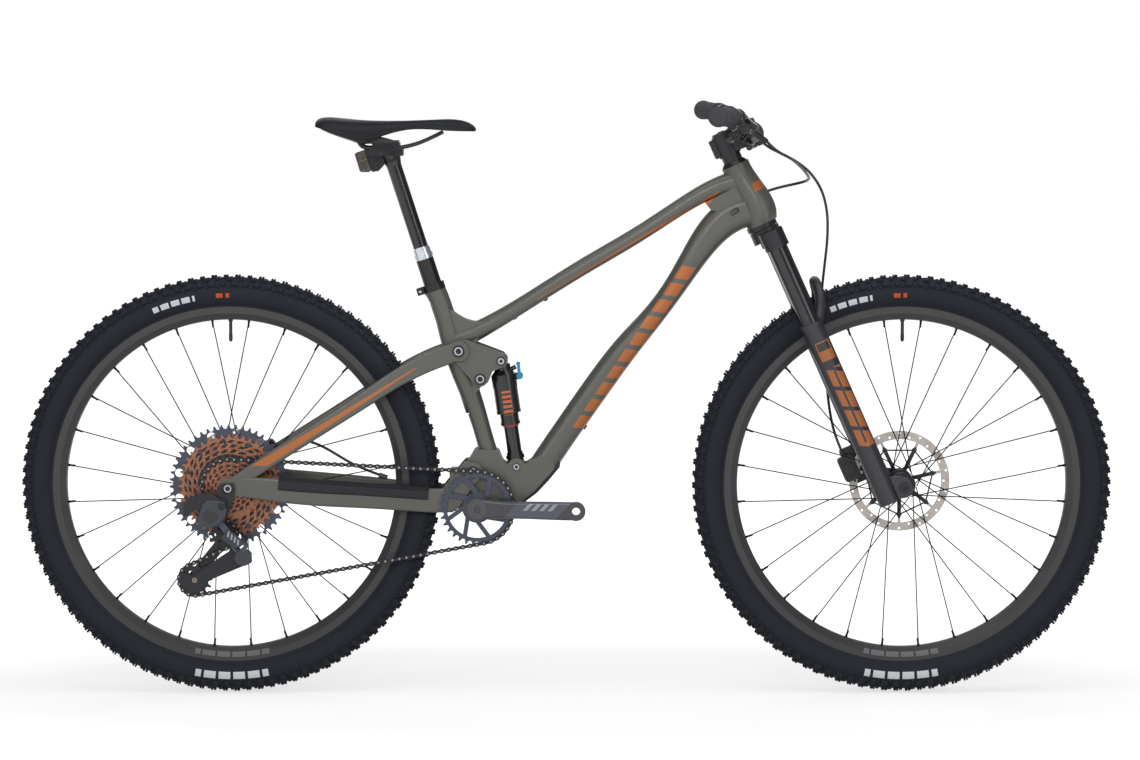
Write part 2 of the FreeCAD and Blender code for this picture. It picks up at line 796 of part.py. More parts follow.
def grips():
    pieces = []
    for side in (-1, 1):
        outer = on_grip_line(0.0, side)
        inner = on_grip_line(grip_length, side)
        lock = on_grip_line(grip_length - 9.0, side)
        cap = on_grip_line(-4.0, side)
        grip = fuse([rod(outer, lock, grip_radius), rod(outer, on_grip_line(8.0, side), grip_radius + 1.5)])
        grip = grip.cut(rod(on_grip_line(-1, side), on_grip_line(grip_length + 5, side), handlebar_radius))
        clamp = rod(lock, inner, grip_radius + 1.2)
        clamp = clamp.cut(rod(lock, on_grip_line(grip_length + 5, side), handlebar_radius))
        plug = rod(cap, outer, grip_radius - 1.0)
        pieces += [grip, clamp, plug]
    return pieces


save("grips", *grips())

brake_clamp_distance = 160.0
brake_tilt = 38.0
control_clamp_distance = 202.0
control_tilt = -25.0
lever_length = 92.0
lever_pin_radius = 2.5
lever_hub_half = 4.4
lever_blade_radius = 4.3
master_reach = 33.0
boot_length = 36.0


def bar_frame(distance, side, tilt):
    """Origin on the bar's outer straight, with outward, forward and downward unit directions.

    The last two are tipped down at the front by the tilt in degrees.
    """
    origin = on_grip_line(distance, side)
    outward = (bar_point(bar_end, side) - bar_point(bar_bend_2, side)).normalize()
    level = (V(1, 0, 0) - outward * outward.x).normalize()
    below = V(0, 0, -1)
    below = (below - outward * outward.dot(below) - level * level.dot(below)).normalize()
    c = math.cos(math.radians(tilt))
    s = math.sin(math.radians(tilt))
    return origin, outward, level * c + below * s, below * c - level * s


def band(distance, side, width, outer):
    low = on_grip_line(distance - width / 2, side)
    high = on_grip_line(distance + width / 2, side)
    return rod(low, high, outer).cut(rod(on_grip_line(distance - 30, side), on_grip_line(distance + 30, side),
                                         handlebar_radius))


def lever_pivot(side):
    origin, outward, forward, down = bar_frame(brake_clamp_distance, side, brake_tilt)
    return origin + forward * (master_reach + 8.0) + down * 14.0 + outward * 3.0


def boot_root(side):
    """Inboard corner of a master cylinder, where its hose boot starts."""
    origin, outward, forward, down = bar_frame(brake_clamp_distance, side, brake_tilt)
    return origin + forward * (master_reach + 4.0) + down * 1.0 - outward * 26.0


def boot_point(side, distance):
    """Point on the line of the rubber boot and of the hose that leaves it, from the boot's root."""
    origin, outward, forward, down = bar_frame(brake_clamp_distance, side, brake_tilt)
    return boot_root(side) + (forward * 0.8 - outward * 0.6) * distance


def hose_exit(side):
    return boot_point(side, boot_length)


def brake_master_cylinders():
    pieces = []
    for side in (-1, 1):
        origin, outward, forward, down = bar_frame(brake_clamp_distance, side, brake_tilt)
        pivot = lever_pivot(side)
        centre = origin + forward * master_reach + down * 1.0
        body = rod(centre - outward * 30.0, centre + outward * 26.0, 8.5)
        tank_middle = origin + forward * (master_reach - 2.0) - outward * 10.0
        tank = rod(tank_middle - down * 14.0, tank_middle + down * 2.0, 13.0)
        neck = rod(origin + forward * 12.5, centre, 7.0)
        boot = cone(boot_root(side), hose_exit(side), 6.5, 4.0)
        upper_ear = rod(pivot - down * 9.0, pivot - down * 5.0, 8.0)
        lower_ear = rod(pivot + down * 5.0, pivot + down * 8.0, 8.0)
        strap_top = centre + outward * 5.0 - forward * 4.0
        strap = rod(strap_top, strap_top + down * 22.0, 4.5)
        foot = rod(strap_top + down * 19.5, pivot + down * 6.5, 3.0)
        clamp = band(brake_clamp_distance, side, 13.0, handlebar_radius + 4.5)
        shape = fuse([body, tank, neck, boot, upper_ear, lower_ear, strap, foot, clamp])
        shape = shape.cut(rod(pivot - down * 4.9, pivot + down * 4.9, 8.6))
        pin = rod(pivot - down * 9.5, pivot + down * 8.5, lever_pin_radius)
        pieces += [shape.cut(pin), pin]
    return pieces


save("brake_master_cylinders", *brake_master_cylinders())


def brake_lever(side):
    """Blade that swings towards the grip about a pin across the bar."""
    pivot = lever_pivot(side)
    origin, outward, forward, down = bar_frame(brake_clamp_distance, side, brake_tilt)
    hub = rod(pivot - down * lever_hub_half, pivot + down * lever_hub_half, 6.5)
    knee = pivot + outward * 15.0 + forward * 16.0
    bend = pivot + outward * 46.0 + forward * 22.0
    tip = pivot + outward * lever_length + forward * 24.0
    blade = bent_tube([pivot, knee, bend, tip], lever_blade_radius)
    shape = fuse([hub, blade, Part.makeSphere(lever_blade_radius + 1.2, tip)])
    return shape.cut(rod(pivot - down * 20, pivot + down * 20, lever_pin_radius + running_gap))


save("right_brake_lever", brake_lever(-1))
save("left_brake_lever", brake_lever(1))


def pod_pivot(side):
    origin, outward, forward, down = bar_frame(control_clamp_distance, side, control_tilt)
    return origin + down * 32.0 + forward * 2.0


def control_pod(side):
    """Body of a thumb control below the bar, hung on a band of its own."""
    origin, outward, forward, down = bar_frame(control_clamp_distance, side, control_tilt)
    pivot = pod_pivot(side)
    clamp = band(control_clamp_distance + 4.0, side, 10.0, handlebar_radius + 4.0)
    neck = rod(origin + down * 12.0 - outward * 4.0, origin + down * 24.0 - outward * 4.0, 5.5)
    body = rod(origin + down * 20.5 - outward * 13.0, origin + down * 20.5 + outward * 9.0, 7.2)
    boss = rod(pivot - down * 14.0, pivot - down * 4.3, 8.0)
    pin = rod(pivot - down * 4.3, pivot + down * 3.4, lever_pin_radius)
    cap = rod(pivot + down * 3.4, pivot + down * 5.0, 4.5)
    return fuse([clamp, neck, body, boss, pin, cap])


def control_paddle(side):
    """Thumb paddle that swings forward under the bar."""
    origin, outward, forward, down = bar_frame(control_clamp_distance, side, control_tilt)
    pivot = pod_pivot(side)
    hub = rod(pivot - down * 4.0, pivot + down * 3.0, 7.5)
    pad_start = pivot + outward * 12.0 - forward * 27.0
    pad_end = pivot + outward * 29.0 - forward * 27.0
    arm = rod(pivot + outward * 3.0, pad_start, 3.2)
    pad = rod(pad_start - outward * 5.0, pad_end, 5.0)
    shape = fuse([hub, arm, pad])
    return shape.cut(rod(pivot - down * 20, pivot + down * 20, lever_pin_radius + running_gap))


save("control_pods", control_pod(-1), control_pod(1))
save("shift_paddle", control_paddle(-1))
save("dropper_paddle", control_paddle(1))


def compression_dial():
    top = crown_top - 3
    base = steer_rod(top + 0.3, top + 6.0, 9.0, stanchion_offset, -leg_y)
    lever = plate([on_steerer(top + 2.0, stanchion_offset), on_steerer(top + 5.5, stanchion_offset),
                   on_steerer(top + 5.5, stanchion_offset - 17), on_steerer(top + 2.0, stanchion_offset - 17)],
                  -leg_y - 3.0, -leg_y + 3.0, 1.0)
    return fuse([base, lever])


save("compression_dial", compression_dial())

# ---------------------------------------------------------------- fork lowers and front brake

axle_height = -(axle_to_crown + lower_headset_stack)
lowers_bottom = lowers_top - lowers_length
dropout_face = front_hub_width / 2 + 0.3


def fork_lowers():
    shapes = []
    for side in (-1, 1):
        y = side * leg_y
        shapes.append(steer_rod(lowers_bottom, lowers_top, fork_leg_radius, stanchion_offset, y))
        shapes.append(steer_rod(lowers_top - 9, lowers_top, fork_leg_radius + 1.6, stanchion_offset, y))
        low = min(side * dropout_face, side * (leg_y + 9.0))
        high = max(side * dropout_face, side * (leg_y + 9.0))
        toe = plate(
            [on_steerer(axle_height + 34, stanchion_offset - 4), on_steerer(axle_height + 24, fork_offset - 4),
             on_steerer(axle_height + 12, fork_offset + 13), on_steerer(axle_height - 12, fork_offset + 13),
             on_steerer(axle_height - 17, fork_offset), on_steerer(lowers_bottom + 4, stanchion_offset - 6)],
            low, high, 7.0
        )
        shapes.append(toe)
    bow = [
        (-204.0, 14.0, -64.0), (-160.0, 43.0, -49.0), (-132.0, 46.0, -22.0),
        (-132.0, 46.0, 22.0), (-160.0, 43.0, 49.0), (-204.0, 14.0, 64.0),
    ]
    arch = bent_tube([at(on_steerer(height, forward), y) for height, forward, y in bow], 9.5)
    shapes.append(arch)
    # post mount for the brake behind the left leg
    shapes.append(plate(
        [on_steerer(axle_height + 92, stanchion_offset), on_steerer(axle_height + 92, -36),
         on_steerer(axle_height + 24, -34), on_steerer(axle_height + 24, stanchion_offset)],
        leg_y - 9.0, leg_y + 2.0, 5.0
    ))
    lowers = fuse(shapes)
    for y in (-leg_y, leg_y):
        lowers = lowers.cut(steer_rod(lowers_bottom + 40, lowers_top + 90, stanchion_radius + running_gap,
                                      stanchion_offset, y))
    return lowers.cut(disc(front_axle, -120, 120, front_axle_radius))


save("fork_lowers", fork_lowers())


def front_thru_axle():
    end = leg_y + 9.0
    shaft = disc(front_axle, -end, end, front_axle_radius)
    head = disc(front_axle, -end - 5.0, -end, 9.5)
    socket = disc(front_axle, -end - 6.0, -end - 1.0, 3.5)
    return fuse([shaft, head]).cut(socket)


save("front_axle", front_thru_axle())


caliper_half_length = 22.5
caliper_depth = 15.0
hose_fitting_length = 6.0


def caliper(centre, direction, rotor_y, mount_y, outward, hose_point):
    """Brake body straddling a rotor, long side along a direction in degrees, with its hose fitting."""
    corners = []
    for share, depth in ((1, 1), (1, -1), (-1, -1), (-1, 1)):
        end = add(centre, turn(direction, share * caliper_half_length))
        corners.append(add(end, turn(direction + 90, depth * caliper_depth)))
    body = plate(corners, rotor_y - 12.0, mount_y, 6.0)
    piston = disc(centre, rotor_y - 15.0, mount_y, 11.0)
    inward = at(centre, hose_point.y) - hose_point
    fitting = rod(hose_point, hose_point + inward.normalize() * (2 * hose_fitting_length), 4.5)
    body = fuse([body, piston, fitting])
    slot_corners = []
    for share_x, share_z in ((1.5, 0.74), (1.5, -3.0), (-1.5, -3.0), (-1.5, 0.74)):
        slot_corners.append(add(add(centre, turn(direction, caliper_half_length * share_x)),
                                turn(direction + 90, outward * caliper_depth * share_z)))
    slot_half = rotor_thickness / 2 + 1.0
    return body.cut(plate(slot_corners, rotor_y - slot_half, rotor_y + slot_half))


front_caliper_centre = on_steerer(axle_height + 58, -31)
front_hose_seat = at(
    add(front_caliper_centre, turn(180 - head_angle, caliper_half_length + hose_fitting_length)), leg_y - 18.0
)
save("front_caliper", caliper(front_caliper_centre, 180 - head_angle, front_rotor_y, leg_y - 9.2, 1.0,
                              front_hose_seat))


# ---------------------------------------------------------------- wheels

bead_half_width = rim_width / 2 - 2.2
tyre_wall = 2.2
tread_thickness = 4.5
rim_wall_top = bead_radius + 6.0
rim_floor = bead_radius - 7.5
rim_nose_half_width = 6.0
flange_radius = 23.0
spoke_lead = 62.0
rotor_band = 15.0
rotor_arm_tip = 61.0
rotor_carrier_radius = 18.0


def turned(profile, centre):
    """Solid of revolution about a wheel's axle, from corners or arcs given as (radius, y)."""
    edges = []
    place = [[V(centre[0] + r, y, centre[1]) for r, y in piece] for piece in profile]
    for piece in place:
        if len(piece) == 3:
            edges.append(Part.Arc(*piece).toShape())
        else:
            edges.append(Part.LineSegment(*piece).toShape())
    face = Part.Face(Part.Wire(edges))
    return face.revolve(at(centre, 0), V(0, 1, 0), 360)


def turned_outline(points, centre):
    count = len(points)
    return turned([(points[i], points[(i + 1) % count]) for i in range(count)], centre)


def tyre(centre):
    half = tyre_width / 2
    foot = bead_radius - 6.8
    lip = rim_wall_top + 1.0
    shoulder = (tyre_radius - 12.0, half - 6.0)
    waist = (bead_radius + 30.0, half)
    outer_bead = (foot, bead_half_width)
    outer_lip = (lip, bead_half_width)
    inner_bead = (foot, bead_half_width - 4.0)
    inner_lip = (lip, bead_half_width - tyre_wall)
    inner_waist = (waist[0], half - tyre_wall)
    inner_shoulder = (tyre_radius - 16.0, half - 6.0 - tyre_wall)
    crown = (tyre_radius, 0.0)
    inner_crown = (tyre_radius - tread_thickness, 0.0)
    profile = [
        (outer_bead, outer_lip),
        (outer_lip, waist, shoulder),
        (shoulder, crown, (shoulder[0], -shoulder[1])),
        ((shoulder[0], -shoulder[1]), (waist[0], -waist[1]), (outer_lip[0], -outer_lip[1])),
        ((outer_lip[0], -outer_lip[1]), (outer_bead[0], -outer_bead[1])),
        ((outer_bead[0], -outer_bead[1]), (inner_bead[0], -inner_bead[1])),
        ((inner_bead[0], -inner_bead[1]), (inner_lip[0], -inner_lip[1])),
        ((inner_lip[0], -inner_lip[1]), (inner_waist[0], -inner_waist[1]),
         (inner_shoulder[0], -inner_shoulder[1])),
        ((inner_shoulder[0], -inner_shoulder[1]), inner_crown, inner_shoulder),
        (inner_shoulder, inner_waist, inner_lip),
        (inner_lip, inner_bead),
        (inner_bead, outer_bead),
    ]
    return turned(profile, centre)


def rim(centre):
    half = rim_width / 2
    side = [(rim_wall_top, half - 1.9), (rim_wall_top, half), (rim_floor + 1.5, half),
            (rim_inner_radius + 1.5, rim_nose_half_width + 4), (rim_inner_radius, rim_nose_half_width)]
    other = [(r, -y) for r, y in reversed(side)]
    floor = [(rim_floor, -half + 1.9), (rim_floor, half - 1.9)]
    return turned_outline(side + other + floor, centre)


def spokes(centre, low_flange, high_flange):
    """Straight spokes, alternately to each flange, alternately leading and trailing."""
    rods = []
    step = 360.0 / spoke_count
    for i in range(spoke_count):
        rim_angle = 90.0 + step * (i + 0.5)
        side = -1 if i % 2 else 1
        lead = spoke_lead if (i // 2) % 2 else -spoke_lead
        flange = high_flange if side > 0 else low_flange
        y = flange + (2.0 if lead > 0 else -2.0)
        start = at(add(centre, turn(rim_angle + lead, flange_radius + 1.6)), y)
        end = at(add(centre, turn(rim_angle, rim_inner_radius - 0.5)), 2.5 * side)
        rods.append(rod(start, end, spoke_radius))
    return rods


def hub(centre, low_flange, high_flange, low_end, high_end, bore, rotor_seat):
    """Turned hub shell with two spoke flanges and a seat for the rotor on its left side."""
    waist = 14.0
    thick = 3.5
    outline = [
        (bore, low_end), (bore + 4, low_end), (bore + 4, low_flange - 9), (waist + 2, low_flange - 7),
        (flange_radius, low_flange - thick), (flange_radius, low_flange + thick), (waist, low_flange + 12),
        (waist, high_flange - 12), (flange_radius, high_flange - thick), (flange_radius, high_flange + thick),
        (waist + 2, high_flange + 6), (waist + 2, rotor_seat + 2.6), (bore + 4, rotor_seat + 2.6),
        (bore + 4, high_end), (bore, high_end),
    ]
    return turned_outline(outline, centre)


def rotor(centre, y):
    """Disc brake rotor: braking band with holes, carried by a seven-armed spider."""
    low = y - rotor_thickness / 2
    high = y + rotor_thickness / 2
    band_inner = rotor_radius - rotor_band
    shapes = [ring(centre, low, high, rotor_radius, band_inner),
              disc(centre, low, high, rotor_carrier_radius + 5.0)]
    arms = 7
    for i in range(arms):
        angle = 270.0 + 360.0 * i / arms
        foot = add(centre, turn(angle, 16.0))
        tip = add(centre, turn(angle, rotor_arm_tip))
        next_tip = add(centre, turn(angle + 360.0 / arms, rotor_arm_tip))
        seat = add(centre, turn(angle, band_inner + 1.5))
        shapes.append(bar(foot, tip, low, high, 7.0))
        shapes.append(bar(tip, next_tip, low, high, 2.6))
        shapes.append(bar(tip, seat, low, high, 5.0))
        shapes.append(disc(tip, low, high, 4.5))
    shape = fuse(shapes).cut(disc(centre, y - 9, y + 9, rotor_carrier_radius - 2.0 + running_gap))
    holes = []
    for i in range(4 * arms):
        angle = 360.0 * i / (4 * arms)
        reach = rotor_radius - (4.5 if i % 2 else 10.5)
        holes.append(disc(add(centre, turn(angle, reach)), low - 1, high + 1, 2.2))
    return shape.cut(Part.makeCompound(holes))


def bar(start, end, y_low, y_high, width):
    """Straight flat bar between two side-view points."""
    direction = math.degrees(math.atan2(end[1] - start[1], end[0] - start[0]))
    up = turn(direction + 90, width / 2)
    down = turn(direction - 90, width / 2)
    return plate([add(start, up), add(start, down), add(end, down), add(end, up)], y_low, y_high)


front_low_flange = -30.0
front_high_flange = 25.0
rear_low_flange = -22.0
rear_high_flange = 33.0

save("front_tyre", tyre(front_axle))
save("rear_tyre", tyre(rear_axle))
save("front_rim", rim(front_axle))
save("rear_rim", rim(rear_axle))
save("front_spokes", *spokes(front_axle, front_low_flange, front_high_flange))
save("rear_spokes", *spokes(rear_axle, rear_low_flange, rear_high_flange))
save("front_rotor", rotor(front_axle, front_rotor_y))
save("rear_rotor", rotor(rear_axle, rear_rotor_y))
save("front_hub", hub(front_axle, front_low_flange, front_high_flange, -front_hub_width / 2,
                      front_hub_width / 2, front_axle_radius + running_gap, front_rotor_y))

# ---------------------------------------------------------------- swingarm

dropout_inner = rear_hub_width / 2
stay_inner_at_rocker = rocker_inner_face + rocker_thickness + 0.6
stay_end_thickness = 11.5
# share from rear axle to stay pivot, rise, depth, middle Y, thickness
seatstay_stations = (
    (0.00, 0.0, 24.0, 79.0, 10.0),
    (0.17, 5.0, 26.0, 76.0, 13.0),
    (0.43, 9.0, 26.5, 66.0, 15.0),
    (0.62, 12.0, 29.0, 53.5, 15.0),
    (0.78, 14.0, 32.0, 43.5, 13.0),
    (0.93, 7.0, 35.0, 37.5, 11.5),
    (1.00, 0.0, 34.0, 37.5, 11.5),
)
# share from rear axle to bottom bracket, rise, depth, middle Y, thickness
chainstay_stations = (
    (0.00, 2.0, 30.0, 79.0, 10.0),
    (0.20, 4.0, 42.0, 78.5, 14.0),
    (0.41, 4.0, 44.0, 70.0, 16.0),
    (0.62, 5.0, 43.0, 55.0, 14.0),
    (0.80, 5.0, 43.0, 41.5, 11.0),
    (0.90, 9.0, 44.0, 38.5, 10.5),
)


def stay(start, end, stations, side):
    centres = [along(start, end, share, rise) for share, rise, depth, y, thick in stations]
    depths = [station[2] for station in stations]
    offsets = [side * station[3] for station in stations]
    thicks = [station[4] for station in stations]
    return lofted_tube(centres, depths, thicks, offsets, softness=0.3)


stay_gland_foot = V(-322.0, 56.0, 378.0)
stay_gland_lean = V(-15.0, 0.0, 5.5)
stay_port = stay_gland_foot + stay_gland_lean


def swingarm():
    shapes = [rod(stay_gland_foot, stay_port, gland_radius)]
    ear_low = pivot_half_width + body_gap
    ear_high = ear_low + dropout_thickness
    for side in (-1, 1):
        shapes.append(stay(rear_axle, pivot_b, seatstay_stations, side))
        shapes.append(stay(rear_axle, bb, chainstay_stations, side))
        low, high = sorted((side * ear_low, side * ear_high))
        ear = plate(
            [add(pivot_a, (-14, 19)), add(pivot_a, (13, 16)), add(pivot_a, (17, -4)), add(pivot_a, (2, -22)),
             add(pivot_a, (-32, -72)), add(pivot_a, (-56, -60)), add(pivot_a, (-56, -32))],
            low, high, 9.0
        )
        shapes.append(ear)
        low, high = sorted((side * stay_inner_at_rocker, side * (stay_inner_at_rocker + stay_end_thickness)))
        shapes.append(disc(pivot_b, low, high, 18.0))
        low, high = sorted((side * dropout_inner, side * (dropout_inner + dropout_thickness)))
        shapes.append(disc(rear_axle, low, high, 18.0))
    # yoke between the stays, ahead of the tyre
    shapes.append(plate(
        [add(pivot_a, (-42, 2)), add(pivot_a, (-26, 2)), add(pivot_a, (-26, -26)), add(pivot_a, (-40, -26))],
        -ear_high + 3, ear_high - 3, 4.0
    ))
    arm = fuse(shapes)
    for side in (-1, 1):
        low, high = sorted((0.0, side * stay_inner_at_rocker))
        arm = arm.cut(disc(pivot_b, low, high, 34.0))
    arm = arm.cut(disc(pivot_a, -60, 60, main_axle_radius + running_gap))
    arm = arm.cut(disc(rear_axle, -120, 120, rear_axle_radius))
    arm = arm.cut(disc(pivot_b, -60, 60, 6.0))
    for side in (-1, 1):
        low, high = sorted((side * (dropout_inner + dropout_thickness), side * 120))
        arm = arm.cut(disc(rear_axle, low, high, 30.0))
        low, high = sorted((side * (stay_inner_at_rocker + stay_end_thickness), side * 90))
        arm = arm.cut(disc(pivot_b, low, high, 13.0))
        low, high = sorted((side * 30.0, side * dropout_inner))
        arm = arm.cut(disc(rear_axle, low, high, 30.0))
    return arm


save("swingarm", swingarm())


def stay_pivot_bolts():
    """Bolts of the seatstay ends, the derailleur side ones seen from outside."""
    bolts = []
    outer = stay_inner_at_rocker + stay_end_thickness
    for side in (-1, 1):
        low, high = sorted((side * stay_inner_at_rocker, side * outer))
        head_low, head_high = sorted((side * outer, side * (outer + 3.5)))
        bolt = fuse([disc(pivot_b, low, high, 6.0), disc(pivot_b, head_low, head_high, 10.5)])
        socket_low, socket_high = sorted((side * (outer + 1.5), side * (outer + 6)))
        bolts.append(bolt.cut(disc(pivot_b, socket_low, socket_high, 4.0)))
    return bolts


def rear_thru_axle():
    end = dropout_inner + dropout_thickness
    shaft = disc(rear_axle, -end, end, rear_axle_radius)
    heads = [disc(rear_axle, -end - 4.0, -end, 9.0), disc(rear_axle, end, end + 3.0, 9.0)]
    return fuse([shaft] + heads).cut(disc(rear_axle, -end - 5, -end - 1.5, 3.5))


save("swingarm_hardware", *stay_pivot_bolts(), rear_thru_axle())


def chainstay_guard():
    """Rubber cover on the outer upper half of the drive-side chainstay."""
    stations = chainstay_stations[1:5]
    centres = [along(rear_axle, bb, share, rise + depth / 4 + 1.5) for share, rise, depth, y, thick in stations]
    depths = [station[2] / 2 + 3.0 for station in stations]
    offsets = [-station[3] for station in stations]
    thicks = [station[4] + 5.0 for station in stations]
    cover = lofted_tube(centres, depths, thicks, offsets, softness=0.3)
    return cover.cut(stay(rear_axle, bb, chainstay_stations, -1))


save("chainstay_guard", chainstay_guard())

rear_caliper_centre = add(rear_axle, turn(36.0, 84.0))


rear_hose_seat = at(add(rear_caliper_centre, turn(36.0, caliper_depth + hose_fitting_length)), rear_rotor_y + 6.0)
save("rear_caliper", caliper(rear_caliper_centre, 126.0, rear_rotor_y, rear_rotor_y + 11.0, -1.0, rear_hose_seat))

# ---------------------------------------------------------------- rear hub and cassette


def cog_y(index):
    return -chain_line - (engaged_cog - index) * cog_pitch


def pitch_radius(teeth):
    return chain_pitch * teeth / (2 * math.pi)


def sprocket(centre, teeth, y, thickness, phase):
    """Toothed disc whose valleys seat the chain's rollers; phase is a valley's angle in degrees."""
    radius = pitch_radius(teeth)
    step = 360.0 / teeth
    corners = []
    valley = ((-2.9, -2.95), (-4.05, -0.9), (-4.05, 0.9), (-2.9, 2.95))
    tip_half = 1.3
    for i in range(teeth):
        angle = phase + i * step
        for rise, offset in valley:
            corners.append(add(add(centre, turn(angle, radius + rise)), turn(angle + 90, offset)))
        flank = turn(angle + 90, 4.1)
        corners.append(add(add(centre, turn(angle, radius - 0.2)), flank))
        tip = angle + step / 2
        corners.append(add(add(centre, turn(tip, radius + 3.0)), turn(tip - 90, tip_half)))
        corners.append(add(add(centre, turn(tip, radius + 3.0)), turn(tip + 90, tip_half)))
        next_angle = angle + step
        corners.append(add(add(centre, turn(next_angle, radius - 0.2)), turn(next_angle - 90, 4.1)))
    return plate(corners, y - thickness / 2, y + thickness / 2)


# ---------------------------------------------------------------- derailleur points

hanger_bolt = add(rear_axle, (-13.0, -28.0))
cage_pivot = add(rear_axle, (27.5, -123.0))
guide_offset = (-43.0, 31.5)
tension_offset = (-83.5, -55.0)


def cage_point(offset, angle):
    """Point of the cage when it is turned by an angle about its pivot, clockwise seen from -Y."""
    c = math.cos(math.radians(angle))
    s = math.sin(math.radians(angle))
    return add(cage_pivot, (offset[0] * c + offset[1] * s, -offset[0] * s + offset[1] * c))


def chain_wheels(cage_angle):
    """Wheels in the order of the loop, with pitch radius and sense: +1 where the loop turns left."""
    cog = cog_teeth[engaged_cog]
    return [
        (bb, pitch_radius(chainring_teeth), 1),
        (rear_axle, pitch_radius(cog), 1),
        (cage_point(guide_offset, cage_angle), pitch_radius(guide_teeth), -1),
        (cage_point(tension_offset, cage_angle), pitch_radius(tension_teeth), 1),
    ]


def chain_runs(cage_angle):
    """Direction and length of each straight run, from every wheel to the next one."""
    wheels = chain_wheels(cage_angle)
    runs = []
    for i in range(len(wheels)):
        a, ra, sense_a = wheels[i]
        b, rb, sense_b = wheels[(i + 1) % len(wheels)]
        distance = math.hypot(b[0] - a[0], b[1] - a[1])
        offset = sense_a * ra - sense_b * rb
        direction = math.atan2(b[1] - a[1], b[0] - a[0]) + math.asin(offset / distance)
        runs.append((direction, math.sqrt(distance * distance - offset * offset)))
    return wheels, runs


def chain_loop(cage_angle):
    """The loop as pieces: ("arc", wheel, start angle, sense, length) and ("run", start, direction, length)."""
    wheels, runs = chain_runs(cage_angle)
    pieces = []
    for i in range(len(wheels)):
        centre, radius, sense = wheels[i]
        arriving = runs[i - 1][0]
        leaving, length = runs[i]
        wrap = (sense * (leaving - arriving)) % (2 * math.pi)
        start_angle = arriving - sense * math.pi / 2
        pieces.append(("arc", i, start_angle, sense, radius * wrap))
        end_angle = start_angle + sense * wrap
        start = (centre[0] + radius * math.cos(end_angle), centre[1] + radius * math.sin(end_angle))
        pieces.append(("run", start, leaving, 1, length))
    return wheels, pieces


def loop_length(cage_angle):
    wheels, pieces = chain_loop(cage_angle)
    return sum(piece[4] for piece in pieces)


def settled_cage_angle():
    """Angle at which the cage takes up exactly the chain's length."""
    low, high = -60.0, 60.0
    target = chain_links * chain_pitch
    rising = loop_length(high) > loop_length(low)
    for i in range(60):
        middle = (low + high) / 2
        if (loop_length(middle) < target) == rising:
            low = middle
        else:
            high = middle
    return (low + high) / 2


cage_angle = settled_cage_angle()
guide_point = cage_point(guide_offset, cage_angle)
tension_point = cage_point(tension_offset, cage_angle)
loop_wheels, loop_pieces = chain_loop(cage_angle)


def chain_joint(distance):
    """Side-view point of the loop at a distance from the foot of the chainring's wrap."""
    for kind, first, angle, sense, length in loop_pieces:
        if distance <= length:
            break
        distance -= length
    if kind == "run":
        return (first[0] + distance * math.cos(angle), first[1] + distance * math.sin(angle))
    centre, radius, turning = loop_wheels[first]
    here = angle + sense * distance / radius
    return (centre[0] + radius * math.cos(here), centre[1] + radius * math.sin(here))


chain_joints = [chain_joint(i * chain_pitch) for i in range(chain_links)]


def wheel_phase(index):
    """Angle in degrees of a roller that sits in the given wheel."""
    passed = 0.0
    for kind, first, angle, sense, length in loop_pieces:
        if kind == "arc" and first == index:
            centre, radius, turning = loop_wheels[index]
            ahead = math.ceil(passed / chain_pitch) * chain_pitch - passed
            return math.degrees(angle + sense * ahead / radius)
        passed += length
    return 0.0


chain_phase = [wheel_phase(i) for i in range(4)]

# ---------------------------------------------------------------- hub, cassette and chain

freehub_radius = 14.4
cog_thickness = 1.6
copper_cogs = len(cog_teeth) - 1


def rear_hub():
    end = dropout_inner - 0.3
    low = rear_low_flange
    high = rear_high_flange
    thick = 3.5
    waist = 15.0
    bore = rear_axle_radius + running_gap
    outline = [
        (bore, -end), (freehub_radius, -end), (freehub_radius, low - 5.5), (waist + 3, low - 5.0),
        (flange_radius, low - thick), (flange_radius, low + thick), (waist, low + 12), (waist, high - 12),
        (flange_radius, high - thick), (flange_radius, high + thick), (waist + 1, high + 7),
        (waist + 1, rear_rotor_y + 2.6), (bore + 5, rear_rotor_y + 2.6), (bore + 5, end), (bore, end),
    ]
    return turned_outline(outline, rear_axle)


save("rear_hub", rear_hub())


def cog(index):
    teeth = cog_teeth[index]
    y = cog_y(index)
    phase = chain_phase[1]
    shape = sprocket(rear_axle, teeth, y, cog_thickness, phase)
    root = pitch_radius(teeth) - 5.0
    core = pitch_radius(cog_teeth[index - 1]) - 5.0 if index else freehub_radius + 2.0
    core = max(core, freehub_radius + 6.0)
    if root - core < 5.0:
        return shape
    windows = []
    count = max(6, teeth // 4)
    low = y - cog_thickness
    high = y + cog_thickness
    for i in range(count):
        angle = 360.0 * i / count
        centre = add(rear_axle, turn(angle, (root + core) / 2 + 1.0))
        windows.append(disc(centre, low, high, min((root - core) / 2 - 0.6, math.pi * core / count * 0.62)))
    return shape.cut(Part.makeCompound(windows))


def cassette():
    """The smaller cogs, stepped along one carrier that turns on the freehub."""
    shapes = []
    for index in range(copper_cogs):
        shapes.append(cog(index))
        low = cog_y(index)
        radius = max(pitch_radius(cog_teeth[max(index - 1, 0)]) - 5.0, freehub_radius + 1.2)
        if index > 5:
            radius = min(radius, pitch_radius(cog_teeth[index]) - 14.0)
        shapes.append(disc(rear_axle, low, low + cog_pitch, radius))
    cluster = shapes[0].multiFuse(shapes[1:])
    cut_end = cog_y(copper_cogs) - cog_thickness / 2
    cluster = cluster.cut(disc(rear_axle, cut_end, cut_end + 30, 200))
    return cluster.cut(disc(rear_axle, -120, 0, freehub_radius + running_gap))


save("cassette", cassette())


def large_cog():
    shape = cog(copper_cogs)
    return shape.cut(disc(rear_axle, -120, 0, freehub_radius + running_gap))


save("large_cog", large_cog())

